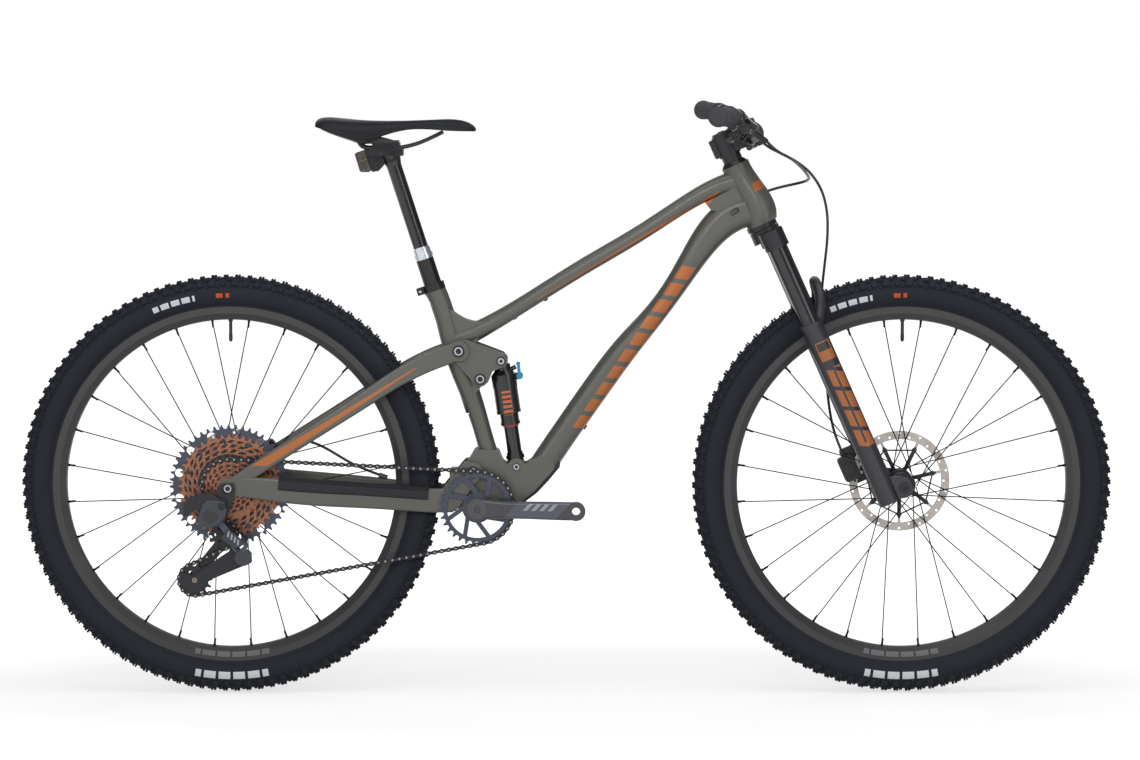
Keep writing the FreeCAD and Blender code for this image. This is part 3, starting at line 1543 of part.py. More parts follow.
plate_radius = 4.1
plate_waist = 2.5
inner_plates = (1.10, 1.75)
outer_plates = (1.80, 2.50)
pin_radius = 1.8


def link_plate(a, b, y_low, y_high):
    """Plate with round ends about two side-view points and a waist between them."""
    direction = math.degrees(math.atan2(b[1] - a[1], b[0] - a[0]))
    middle = along(a, b, 0.5)
    ends = []
    for point, facing in ((a, direction + 180), (b, direction)):
        ends.append([add(point, turn(facing + swing, plate_radius)) for swing in (-115, 0, 115)])
    waists = [add(middle, turn(direction + swing, plate_waist)) for swing in (90, -90)]
    arcs = [ends[0], (ends[0][2], waists[1], ends[1][0]), ends[1], (ends[1][2], waists[0], ends[0][0])]
    edges = []
    for arc in arcs:
        first, second, third = [at(point, y_low) for point in arc]
        edges.append(Part.Arc(first, second, third).toShape())
    return Part.Face(Part.Wire(edges)).extrude(V(0, y_high - y_low, 0))


def chain_link(index):
    """Outer links carry the pins and inner links carry the rollers that turn on them."""
    a = chain_joints[index]
    b = chain_joints[(index + 1) % chain_links]
    outer = index % 2 == 0
    near, far = outer_plates if outer else inner_plates
    shapes = []
    for low, high in ((-far, -near), (near, far)):
        shapes.append(link_plate(a, b, low - chain_line, high - chain_line))
    for end in (a, b):
        if outer:
            shapes.append(disc(end, -chain_line - far - 0.1, -chain_line + far + 0.1, pin_radius))
        else:
            shapes.append(disc(end, -chain_line - near, -chain_line + near, roller_radius))
    link = shapes[0].multiFuse(shapes[1:])
    if not outer:
        for end in (a, b):
            link = link.cut(disc(end, -chain_line - 5, -chain_line + 5, pin_radius + running_gap))
    return link


save("chain", *[chain_link(i) for i in range(chain_links)])

# ---------------------------------------------------------------- cranks

chainring_thickness = 1.6
crank_rest = -1.0
crank_offset_inner = 62.0
crank_end = add(bb, turn(crank_rest, crank_length))
left_crank_end = add(bb, turn(crank_rest + 180, crank_length))
spider_radius = 24.0
# share of the crank's length, depth, distance of the middle from the pedal's outer face, thickness
crank_stations = ((0.0, 40.0, 15.9, 15.0), (0.16, 34.0, 15.0, 17.0), (0.55, 31.0, 10.5, 15.0), (1.0, 32.0, 7.0, 14.0))


def chainring():
    y = -chain_line
    low = y - chainring_thickness / 2
    high = y + chainring_thickness / 2
    radius = pitch_radius(chainring_teeth)
    blank = sprocket(bb, chainring_teeth, y, chainring_thickness, chain_phase[0])
    well = ring(bb, low - 1, high + 1, radius - 11.0, spider_radius + 3.0)
    arms = []
    count = 8
    for i in range(count):
        angle = 360.0 * i / count
        arms.append(bar(add(bb, turn(angle, spider_radius)), add(bb, turn(angle + 22.0, radius - 7.0)),
                        low - 1, high + 1, 8.0))
    blank = blank.cut(well.cut(fuse(arms)))
    hub_end = -crank_offset_inner
    seat = disc(bb, hub_end, high, spider_radius)
    shape = fuse([blank, seat])
    return shape.cut(disc(bb, hub_end - 5, high + 5, crank_spindle_radius))


save("chainring", chainring())


def crank_arm(side):
    """Arm from the bottom bracket to the pedal thread, on the -Y side for side -1."""
    end = crank_end if side < 0 else left_crank_end
    centres = [along(bb, end, share) for share, depth, inset, thick in crank_stations]
    depths = [station[1] for station in crank_stations]
    offsets = [side * (pedal_face - station[2]) for station in crank_stations]
    thicks = [station[3] for station in crank_stations]
    arm = lofted_tube(centres, depths, thicks, offsets, softness=0.34)
    low, high = sorted((side * crank_offset_inner, side * (pedal_face - 8.0)))
    boss = disc(bb, low, high, 20.0)
    low, high = sorted((side * (pedal_face - 14.0), side * pedal_face))
    eye = disc(end, low, high, 16.5)
    shape = fuse([arm, boss, eye])
    return shape, end


def drive_crank_arm():
    shape, end = crank_arm(-1)
    spindle = disc(bb, -pedal_face + 12.0, crank_offset_inner - 0.2, crank_spindle_radius)
    shape = fuse([shape, spindle])
    shape = shape.cut(disc(bb, -pedal_face - 5, -pedal_face + 10.5, 7.0))
    shape = shape.cut(disc(bb, -40.0, 90.0, crank_spindle_radius - 3.0))
    return shape.cut(disc(end, -pedal_face - 5, -pedal_face + 30, pedal_thread_radius))


def left_crank_arm():
    shape, end = crank_arm(1)
    shape = shape.cut(disc(bb, pedal_face - 14.0, pedal_face + 5, 10.0))
    return shape.cut(disc(end, pedal_face - 30, pedal_face + 5, pedal_thread_radius))


save("drive_crank_arm", drive_crank_arm())
save("left_crank_arm", left_crank_arm())

# ---------------------------------------------------------------- derailleur

link_top = add(hanger_bolt, (-2.0, -30.0))
link_foot = add(cage_pivot, (-9.0, 24.0))
link_dx = link_foot[0] - link_top[0]
link_dz = link_foot[1] - link_top[1]
link_length = math.hypot(link_dx, link_dz)
link_run = V(link_dx / link_length, 0, link_dz / link_length)
link_axis = V(-link_dz / link_length, 0, link_dx / link_length)
outer_link_y = -93.0
inner_link_y = -79.0
link_thickness = 6.0
link_half_width = 7.0
link_pin_radius = 2.0
ear_thickness = 4.5
knuckle_radius = 13.0
cage_outer_face = -chain_line - 7.6
cage_plate = 1.6
cage_gap = 5.2
pulley_bore = 4.0
mount_face = -(dropout_inner + dropout_thickness + 0.3)


def link_block(origin, across_low, across_high, y_low, y_high, run_low, run_high):
    """Box along the derailleur's link, measured across, through and along it."""
    start = at(origin, 0) + link_axis * across_low + link_run * run_low
    corners = [
        start + V(0, y_low, 0),
        start + V(0, y_high, 0),
        start + V(0, y_high, 0) + link_run * (run_high - run_low),
        start + V(0, y_low, 0) + link_run * (run_high - run_low),
    ]
    face = Part.Face(Part.makePolygon(corners + [corners[0]]))
    return face.extrude(link_axis * (across_high - across_low))


def link_pin(origin, y, radius, half_length):
    middle = at(origin, y)
    return rod(middle - link_axis * half_length, middle + link_axis * half_length, radius)


def fork_ears(origin, run_low, run_high, back_low, back_high):
    """Pair of ears that hold both links' pins, joined by a bridge."""
    low = outer_link_y - link_thickness
    high = inner_link_y + link_thickness
    inner = link_half_width + 0.3
    outer = inner + ear_thickness
    return [
        link_block(origin, -outer, -inner, low, high, run_low, run_high),
        link_block(origin, inner, outer, low, high, run_low, run_high),
        link_block(origin, -outer, outer, low, high, back_low, back_high),
    ]


def derailleur_mount():
    """Bracket clamped on the axle outside the dropout, with the motor and the links' upper pins."""
    arm = plate(
        [add(rear_axle, (-13, 9)), add(rear_axle, (12, 10)), add(rear_axle, (13, -8)),
         add(hanger_bolt, (17, -6)), add(hanger_bolt, (12, -22)), add(hanger_bolt, (-14, -16)),
         add(hanger_bolt, (-16, 8))],
        mount_face - 7.0, mount_face, 5.0
    )
    arm = arm.cut(disc(rear_axle, -200, 0, 9.6))
    barrel = disc(hanger_bolt, mount_face - 16.0, mount_face, 12.0)
    motor = plate(
        [add(hanger_bolt, (-38, 22)), add(hanger_bolt, (-10, 20)), add(hanger_bolt, (4, 6)),
         add(hanger_bolt, (8, -16)), add(hanger_bolt, (-12, -20)), add(hanger_bolt, (-44, -10))],
        mount_face - 19.0, mount_face - 1.0, 6.0
    )
    ears = fork_ears(link_top, -22.0, 5.0, -22.0, -9.0)
    shape = fuse([arm, barrel, motor] + ears)
    for y in (outer_link_y, inner_link_y):
        shape = shape.fuse(link_pin(link_top, y, link_pin_radius, link_half_width + 2.0))
    bolt = disc(hanger_bolt, mount_face - 21.5, mount_face - 19.3, 7.0)
    bolt = bolt.cut(disc(hanger_bolt, mount_face - 22, mount_face - 20.5, 3.0))
    return [shape.removeSplitter(), bolt.fuse(disc(hanger_bolt, mount_face - 19.3, mount_face - 19.0, 6.0))]


def derailleur_battery():
    return plate(
        [add(hanger_bolt, (-64, 4)), add(hanger_bolt, (-38.3, 22)), add(hanger_bolt, (-44.3, -10)),
         add(hanger_bolt, (-64, -22))],
        mount_face - 18.0, mount_face - 2.0, 3.0
    )


save("derailleur_mount", *derailleur_mount(), derailleur_battery())


def derailleur_link(y):
    foot = V(link_foot[0], y, link_foot[1])
    top = V(link_top[0], y, link_top[1])
    bar_body = link_block(link_top, -link_half_width + 1.5, link_half_width - 1.5,
                          y - link_thickness / 2, y + link_thickness / 2, 0.0, link_length)
    eyes = [rod(point - link_axis * link_half_width, point + link_axis * link_half_width, 5.0)
            for point in (top, foot)]
    shape = fuse([bar_body] + eyes)
    for origin in (link_top, link_foot):
        shape = shape.cut(link_pin(origin, y, link_pin_radius + running_gap, 40.0))
    return shape


save("derailleur_outer_link", derailleur_link(outer_link_y))
save("derailleur_inner_link", derailleur_link(inner_link_y))


def derailleur_knuckle():
    """Lower knuckle that both links carry, with the bore the cage turns in."""
    ears = fork_ears(link_foot, -5.0, 14.0, 8.5, 14.0)
    barrel = disc(cage_pivot, outer_link_y, cage_outer_face - 1.0, knuckle_radius)
    shape = fuse(ears + [barrel])
    shape = shape.cut(disc(cage_pivot, -80.0, cage_outer_face + 5, 8.0 + running_gap))
    for y in (outer_link_y, inner_link_y):
        shape = shape.fuse(link_pin(link_foot, y, link_pin_radius, link_half_width + 2.0))
    return shape.removeSplitter()


save("derailleur_knuckle", derailleur_knuckle())


def derailleur_cage():
    outer_outline = [
        add(cage_pivot, (13, 6)), add(cage_pivot, (12, -12)), add(cage_pivot, (-12, -22)),
        add(tension_point, (22, -2)), add(tension_point, (10, -20)), add(tension_point, (-8, -26)),
        add(tension_point, (-28, -4)), add(tension_point, (-26, 16)), add(tension_point, (-4, 8)),
        add(cage_pivot, (-26, 10)), add(guide_point, (-11, 4)), add(guide_point, (0, 11)), add(guide_point, (11, 4)),
        add(cage_pivot, (-8, 12)),
    ]
    inner_outline = [
        add(guide_point, (-4, 7)), add(guide_point, (1, 3)), add(guide_point, (1, -7)),
        add(guide_point, (12, -14)),
        add(tension_point, (14, 10)),
        add(tension_point, (13, -11)), add(tension_point, (-11, -13)), add(tension_point, (-14, 6)),
        add(guide_point, (-13, -10)), add(guide_point, (-12, 8)),
    ]
    outer_low = -chain_line - cage_gap - cage_plate
    inner_low = -chain_line + cage_gap
    outer = plate(outer_outline, outer_low, outer_low + cage_plate, 4.0)
    inner = plate(inner_outline, inner_low, inner_low + cage_plate, 5.0)
    bolts = []
    for point, high in ((guide_point, inner_low + 0.3), (tension_point, inner_low + cage_plate)):
        bolts.append(disc(point, outer_low - 1.6, high, pulley_bore))
    hub_shaft = disc(cage_pivot, -79.5, outer_low, 8.0)
    collar = disc(cage_pivot, cage_outer_face - 0.6, outer_low, 12.0)
    return fuse([outer, inner, hub_shaft, collar] + bolts)


save("derailleur_cage", derailleur_cage())


def pulley(centre, teeth, phase):
    shape = sprocket(centre, teeth, -chain_line, cog_thickness, phase)
    hub_body = ring(centre, -chain_line - cage_gap + 0.3, -chain_line + cage_gap - 0.3, 7.0, pulley_bore + running_gap)
    holes = []
    for i in range(6):
        spot = add(centre, turn(60.0 * i, (pitch_radius(teeth) - 5.0 + 7.0) / 2))
        holes.append(disc(spot, -chain_line - 3, -chain_line + 3, 3.0))
    shape = shape.cut(disc(centre, -60, -40, pulley_bore + running_gap))
    return fuse([shape.cut(Part.makeCompound(holes)), hub_body])


save("guide_pulley", pulley(guide_point, guide_teeth, chain_phase[2]))
save("tension_pulley", pulley(tension_point, tension_teeth, chain_phase[3]))

# ---------------------------------------------------------------- rocker and shock

shock_axis_x = (pivot_d[0] - pivot_e[0])
shock_axis_z = (pivot_d[1] - pivot_e[1])
shock_length = math.hypot(shock_axis_x, shock_axis_z)
shock_stroke = 47.0
shock_body_radius = 12.9
shock_can_radius = 21.5
shock_can_foot = 74.0
shock_can_step = 95.0
shock_can_head = 172.0
shock_bore_end = 176.0
shock_collar_radius = 16.5
shock_lever_height = 158.0
shock_lever_ahead = 28.5
shock_lever_boss = 6.0
shock_lever_post = 2.95
far_away = 2000.0
rocker_stub_radius = 5.0


def on_shock(distance, ahead=0.0):
    """Side-view point up the shock from its lower eye, and ahead of its axis."""
    return along(pivot_e, pivot_d, distance / shock_length, -ahead)


def shock_rod(low, high, radius):
    return rod(at(on_shock(low), 0), at(on_shock(high), 0), radius)


def rocker():
    outline = [
        add(pivot_b, (-14, 8)), add(pivot_b, (0, 19)), add(pivot_b, (15, 19)), add(pivot_d, (4, 13)),
        add(pivot_d, (13, 2)), add(pivot_d, (8, -9)), add(pivot_c, (22, 14)), add(pivot_c, (14, -6)),
        add(pivot_c, (1, -15)), add(pivot_c, (-14, -4)), add(pivot_b, (-14, -10)),
    ]
    pieces = []
    for side in (-1, 1):
        low, high = sorted((side * rocker_inner_face, side * (rocker_inner_face + rocker_thickness)))
        arm = plate(outline, low, high, 6.0)
        arm = arm.cut(disc(pivot_c, -60, 60, rocker_axle_radius + running_gap))
        arm = arm.cut(disc(pivot_d, -60, 60, rocker_stub_radius))
        head_low, head_high = sorted((side * (rocker_inner_face + rocker_thickness),
                                      side * (rocker_inner_face + rocker_thickness + 3.0)))
        stub = fuse([disc(pivot_d, low, high, rocker_stub_radius), disc(pivot_d, head_low, head_high, 8.0)])
        socket_low, socket_high = sorted((side * (rocker_inner_face + rocker_thickness + 1.2), side * 60))
        pieces += [arm, stub.cut(disc(pivot_d, socket_low, socket_high, 3.0))]
    return pieces


save("rocker", *rocker())


def shock_shaft():
    """Lower eye, its head and the body that slides up inside the air can."""
    top = shock_bore_end - shock_stroke - 2.0
    eye = disc(pivot_e, -shock_eye_half_width, shock_eye_half_width, shock_eye_radius)
    neck = shock_rod(4.0, 24.0, 14.5)
    body = shock_rod(22.0, top, shock_body_radius)
    dial = shock_rod(13.0, 19.0, 16.5)
    shape = fuse([eye, neck, body, dial])
    shape = shape.cut(block(-far_away, far_away, shock_eye_half_width, 60, 0, far_away))
    shape = shape.cut(block(-far_away, far_away, -60, -shock_eye_half_width, 0, far_away))
    shape = shape.cut(disc(pivot_e, -60, 60, shock_bolt_radius + running_gap))
    return shape


save("shock_shaft", shock_shaft())


def shock_air_can():
    """Air can with its head, upper eye and valve, and the travel ring that it pushes down the body."""
    shoulder = shock_can_head - 8
    collar = shock_rod(shock_can_foot, shock_can_step + 1, shock_collar_radius)
    can = shock_rod(shock_can_step, shoulder, shock_can_radius)
    rims = [
        shock_rod(shock_can_foot, shock_can_foot + 5, shock_collar_radius + 1.2),
        shock_rod(shock_can_step, shock_can_step + 4, shock_can_radius + 0.6),
        shock_rod(shoulder - 22, shoulder, shock_can_radius + 0.8),
    ]
    head = cone(at(on_shock(shoulder), 0), at(on_shock(shock_can_head), 0), shock_can_radius, 15.0)
    crown = shock_rod(shock_can_head - 4, shock_length - 8, 14.5)
    eye = disc(pivot_d, -shock_eye_half_width, shock_eye_half_width, shock_eye_radius)
    reach = rocker_inner_face - body_gap
    spacer = disc(pivot_d, -reach, reach, 7.5)
    valve = rod(at(on_shock(shock_can_head - 3, 8), 0), at(on_shock(shock_can_head + 3, 24), 0), 4.0)
    boss_root = on_shock(shock_lever_height, shock_body_radius + 2)
    boss = bar(boss_root, shock_lever_pivot, -shock_lever_boss, shock_lever_boss, 2 * shock_lever_boss)
    boss = boss.fuse(disc(shock_lever_pivot, -shock_lever_boss, shock_lever_boss, shock_lever_boss))
    shape = fuse([collar, can, head, crown, eye, spacer, valve, boss] + rims)
    bore = shock_rod(shock_can_foot - 5, shock_bore_end, shock_body_radius + running_gap)
    shape = shape.cut(bore)
    lever_bore = disc(shock_lever_pivot, -shock_lever_boss - 1, shock_lever_boss + 1, shock_lever_post + running_gap)
    shape = shape.cut(lever_bore)
    travel_ring = shock_rod(shock_can_foot - 2.8, shock_can_foot, shock_body_radius + 1.6).cut(bore)
    return [shape, travel_ring]


shock_lever_pivot = on_shock(shock_lever_height, shock_lever_ahead)
save("shock_air_can", *shock_air_can())


def shock_lever():
    """Compression lever beside the boss ahead of the can's head."""
    outer = -shock_lever_boss - body_gap
    post = disc(shock_lever_pivot, outer - 0.2, shock_lever_boss, shock_lever_post)
    base = disc(shock_lever_pivot, outer - 4.0, outer, 5.6)
    tip = add(shock_lever_pivot, turn(97.0, 22.0))
    blade = bar(shock_lever_pivot, tip, outer - 3.6, outer - 0.6, 5.5)
    return fuse([post, base, blade, disc(tip, outer - 4.4, outer - 0.2, 3.8)])


save("shock_lever", shock_lever())

# ---------------------------------------------------------------- seatpost and saddle

post_collar_height = 59.0
post_collar_length = 22.0
post_collar_top = seat_tube_length + post_collar_height + post_collar_length
post_top_height = post_collar_top + post_extension - 13.0
post_overlap = 75.0


def seat_rod(low, high, radius):
    return rod(at(on_seat_tube(low), 0), at(on_seat_tube(high), 0), radius)


def dropper_outer():
    low = seat_tube_length - post_insertion
    high = post_collar_top - post_collar_length
    shape = seat_rod(low, high, post_outer_radius)
    return shape.cut(seat_rod(low + 6, high + 5, post_radius + running_gap))


def dropper_collar():
    low = post_collar_top - post_collar_length
    shape = fuse([
        seat_rod(low, post_collar_top - 3, post_outer_radius - 0.4),
        seat_rod(low + 3, low + 9, post_outer_radius + 0.9),
        seat_rod(post_collar_top - 3, post_collar_top, post_outer_radius - 1.6),
    ])
    return shape.cut(seat_rod(low - 5, post_collar_top + 5, post_radius + running_gap))


save("dropper_outer", dropper_outer())
save("dropper_collar", dropper_collar())

post_top = on_seat_tube(post_top_height)
rail_seat = add(post_top, (-13.0, 31.0))
rail_radius = 3.5
rail_half_gap = 22.0
saddle_nose = add(rail_seat, (156.0, 30.0))

# share of the length behind the nose, top of the section above the nose, height, share of the width
saddle_stations = (
    (0.00, 9.0, 11.0, 0.17),
    (0.05, 17.5, 20.0, 0.26),
    (0.25, 18.5, 22.0, 0.32),
    (0.45, 17.0, 22.0, 0.46),
    (0.63, 16.0, 26.0, 0.70),
    (0.80, 19.0, 30.0, 0.93),
    (0.93, 23.5, 22.0, 1.00),
    (1.00, 20.0, 12.0, 0.88),
)


def saddle_rails():
    rails = []
    for side in (-1, 1):
        x, z = rail_seat
        points = [
            V(x + 100.0, side * 9.0, z + 27.5),
            V(x + 66.0, side * 17.0, z + 10.0),
            V(x + 28.0, side * rail_half_gap, z),
            V(x - 46.0, side * rail_half_gap, z - 0.5),
            V(x - 88.0, side * (rail_half_gap + 6), z + 14.0),
        ]
        rails.append(bent_tube(points, rail_radius))
    return rails


def saddle(rails):
    wires = []
    for share, top, height, width in saddle_stations:
        centre = V(saddle_nose[0] - share * saddle_length, 0, saddle_nose[1] + top - height / 2)
        wide = width * saddle_width
        wires.append(section(centre, V(0, 0, 1), V(0, 1, 0), height, wide, 0.46 * height))
    shape = Part.makeLoft(wires, True, False)
    for rail in rails:
        shape = shape.cut(rail)
    return shape


rails = saddle_rails()
save("saddle_rails", *rails)
save("saddle", saddle(rails))


def dropper_stanchion():
    """Sliding tube with the head that clamps the saddle rails."""
    tube = seat_rod(post_collar_top - post_overlap, post_top_height, post_radius)
    x, z = rail_seat
    neck_foot = at(on_seat_tube(post_top_height - 1.5), 0)
    neck = cone(neck_foot, at(on_seat_tube(post_top_height + 23), 0), post_radius, 18.5)
    cradle = block(x - 30, x + 30, -rail_half_gap - 6, rail_half_gap + 6, z - 14, z - 0.3)
    housing = plate([(x - 40, z - 1), (x - 12, z - 1), (x - 1, z - 28), (x - 13, z - 41), (x - 25, z - 43)], -15, 15, 3)
    nose = plate([(x - 14, z - 1), (x + 26, z - 1), (x + 26, z - 9), (x + 20, z - 21), (x + 4, z - 28)], -16, 16, 3)
    head = fuse([tube, neck, cradle, housing, nose])
    clamp = block(x - 24, x + 24, -rail_half_gap - 6, rail_half_gap + 6, z + 0.3, z + 9)
    for rail in rails:
        head = head.cut(rail)
        clamp = clamp.cut(rail)
    bolts = []
    for reach in (-18, 18):
        shank = rod(V(x + reach, 0, z - 13), V(x + reach, 0, z + 9), 3.0)
        cap = rod(V(x + reach, 0, z + 9), V(x + reach, 0, z + 13), 5.0)
        bolt = fuse([shank, cap])
        head = head.cut(bolt)
        clamp = clamp.cut(bolt)
        bolts.append(bolt)
    return [head, clamp] + bolts


save("dropper_stanchion", *dropper_stanchion())


def dropper_battery():
    x, z = rail_seat
    outline = [(x - 56, z - 10), (x - 39.3, z - 4), (x - 25.4, z - 43), (x - 46, z - 43)]
    return plate(outline, -17, 17, 4.0)


save("dropper_battery", dropper_battery())

# ---------------------------------------------------------------- brake hoses

hose_radius = 2.5
front_hose_route = [
    hose_exit(1), boot_point(1, boot_length + 26), V(390, 135, 957), V(415, 119, 944), V(440, 105, 924),
    V(460, 92, 892), V(469, 88, 852), V(469, 87, 807), V(464, 88, 760), V(459, 91, 712),
    V(458, 94, 664), V(462, 95, 617), V(467, 93, 572), V(470, 86, 530), V(474, 70, 491),
    front_hose_seat + at(steer_up, 0) * 32, front_hose_seat,
]
rear_hose_route = [
    hose_exit(-1), boot_point(-1, boot_length + 26), V(390, -134, 957), V(404, -101, 946), V(416, -66, 935),
    V(425, -28, 925), V(431, 6, 917), V(426, 35, 911), V(408, 51, 906), V(385, 53, 901),
    V(363, 50, 895), V(343, 49, 887), frame_port + V(*gland_lean) * 1.4, frame_port,
]
rear_tail_route = [
    stay_port, stay_port + stay_gland_lean * 0.87, V(-386, 57.5, 403), V(-417, 59, 422), V(-440, 60, 435),
    V(-462, 60, 443.5), V(-482, 60.5, 447.5), rear_hose_seat + V(11.3, 0.0, 8.2), rear_hose_seat,
]

save("front_brake_hose", bent_tube(front_hose_route, hose_radius, "front brake hose"))
save("rear_brake_hose", bent_tube(rear_hose_route, hose_radius, "rear brake hose"))
save("rear_hose_tail", bent_tube(rear_tail_route, hose_radius, "rear hose tail"))
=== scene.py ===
"""Looks of a full-suspension mountain bike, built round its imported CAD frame."""
import math

import bmesh
import bpy
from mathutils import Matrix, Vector


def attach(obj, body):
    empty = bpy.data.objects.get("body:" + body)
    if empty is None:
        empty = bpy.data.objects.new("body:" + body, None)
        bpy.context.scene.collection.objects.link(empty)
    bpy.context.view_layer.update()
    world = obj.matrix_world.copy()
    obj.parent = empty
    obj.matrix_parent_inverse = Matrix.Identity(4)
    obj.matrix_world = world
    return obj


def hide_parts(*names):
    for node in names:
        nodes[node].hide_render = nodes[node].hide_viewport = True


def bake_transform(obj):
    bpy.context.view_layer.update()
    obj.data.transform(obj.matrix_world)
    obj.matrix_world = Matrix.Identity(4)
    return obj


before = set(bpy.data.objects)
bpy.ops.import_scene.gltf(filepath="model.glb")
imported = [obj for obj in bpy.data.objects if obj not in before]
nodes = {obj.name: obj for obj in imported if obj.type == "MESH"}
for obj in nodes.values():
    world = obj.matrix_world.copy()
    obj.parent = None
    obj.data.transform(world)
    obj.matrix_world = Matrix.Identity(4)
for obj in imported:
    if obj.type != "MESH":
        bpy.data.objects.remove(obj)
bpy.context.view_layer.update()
scene = bpy.context.scene

# ---- places taken from the CAD model, in metres

REAR_AXLE = Vector((-0.597, 0.0, 0.374))
FRONT_AXLE = Vector((0.597, 0.0, 0.374))
BOTTOM_BRACKET = Vector((-0.158, 0.0, 0.336))
HEAD_FOOT = Vector((0.3451, 0.0, 0.8365))
STEER_UP = Vector((-0.4067, 0.0, 0.9135))
STEER_FORWARD = Vector((0.9135, 0.0, 0.4067))
SHOCK_FOOT = Vector((-0.089, 0.0, 0.4065))
SHOCK_TOP = Vector((-0.116, 0.0, 0.595))
BAR_OUTER = Vector((0.2544, 0.380, 1.0328))
BAR_INNER = Vector((0.3044, 0.130, 1.0273))
TYRE_RADIUS = 0.374
STAY_PIVOT = Vector((-0.191, 0.0, 0.6135))
ROCKER_PIVOT = Vector((-0.153, 0.0, 0.563))
MAIN_PIVOT = Vector((-0.166, 0.0, 0.398))
RAIL_SEAT = Vector((-0.3190, 0.0, 0.9721))
TENSION_PULLEY = Vector((-0.6595, 0.0, 0.2074))
HANGER_BOLT = Vector((-0.610, 0.0, 0.346))
KNUCKLE = Vector((-0.5695, 0.0, 0.2535))
COLLAR_BOLT = Vector((-0.2594, 0.0, 0.7170))
RAIL_RADIUS = 0.0035
CHAIN_LINE = 0.05000
CHAIN_PLATE_FACE = 0.00255


def tone(red, green, blue):
    """Linear colour from 0-255 display values."""
    def linear(value):
        share = value / 255
        return share / 12.92 if share <= 0.04045 else ((share + 0.055) / 1.055) ** 2.4
    return linear(red), linear(green), linear(blue), 1.0


def put_in_scene(name, data):
    """New object in the scene."""
    item = bpy.data.objects.new(name, data)
    scene.collection.objects.link(item)
    return item


# ---- camera, floor and light

CAMERA_PLACE = (0.0062, -6.9755, 1.1447)
CAMERA_DIP = 4.8
CAMERA_LENS = 124.2
FLOOR_HALF = 25
FLOOR_LEVEL = -0.0004
FLOOR_GREY = 0.42
# the floor's glow: reach and strength near the object, reach and strength away from it
GLOW_NEAR, GLOW_FAR = (0.45, 0.66), (1.1, 1.0)
GLOW_STRETCH = 2.2


def make_camera():
    data = bpy.data.cameras.new("camera")
    data.lens = CAMERA_LENS
    data.sensor_width = 36.0
    data.clip_end = 60.0
    camera = put_in_scene("camera", data)
    camera.location = CAMERA_PLACE
    camera.rotation_euler = (math.radians(90.0 - CAMERA_DIP), 0.0, 0.0)
    scene.camera = camera


def area_light(name, location, target, width, height, power):
    data = bpy.data.lights.new(name, "AREA")
    data.shape = "RECTANGLE"
    data.size = width
    data.size_y = height
    data.energy = power
    lamp = put_in_scene(name, data)
    lamp.location = location
    lamp.rotation_euler = (Vector(target) - Vector(location)).to_track_quat("-Z", "Y").to_euler()


def maths(tree, operation, a, b):
    """Maths node between two outputs."""
    node = tree.nodes.new("ShaderNodeMath")
    node.operation = operation
    tree.links.new(a, node.inputs[0])
    tree.links.new(b, node.inputs[1])
    return node.outputs[0]


def seen_directly(tree):
    """1 for what the camera, a mirror reflection or a clear surface shows, 0 for light on the object."""
    ray = tree.nodes.new("ShaderNodeLightPath").outputs
    clear = maths(tree, "MAXIMUM", ray["Is Camera Ray"], ray["Is Transmission Ray"])
    return maths(tree, "MAXIMUM", clear, ray["Is Glossy Ray"])


def make_world():
    world = bpy.data.worlds.new("studio")
    scene.world = world
    world.use_nodes = True
    tree = world.node_tree
    output = tree.nodes["World Output"]
    soft = tree.nodes["Background"]
    soft.inputs["Color"].default_value = (0.90, 0.94, 1.0, 1.0)
    soft.inputs["Strength"].default_value = 0.24
    white = tree.nodes.new("ShaderNodeBackground")
    white.inputs["Color"].default_value = (1.0, 1.0, 1.0, 1.0)
    white.inputs["Strength"].default_value = 1.0
    mix = tree.nodes.new("ShaderNodeMixShader")
    path = tree.nodes.new("ShaderNodeLightPath")
    tree.links.new(path.outputs["Is Camera Ray"], mix.inputs[0])
    tree.links.new(soft.outputs[0], mix.inputs[1])
    tree.links.new(white.outputs[0], mix.inputs[2])
    tree.links.new(mix.outputs[0], output.inputs["Surface"])


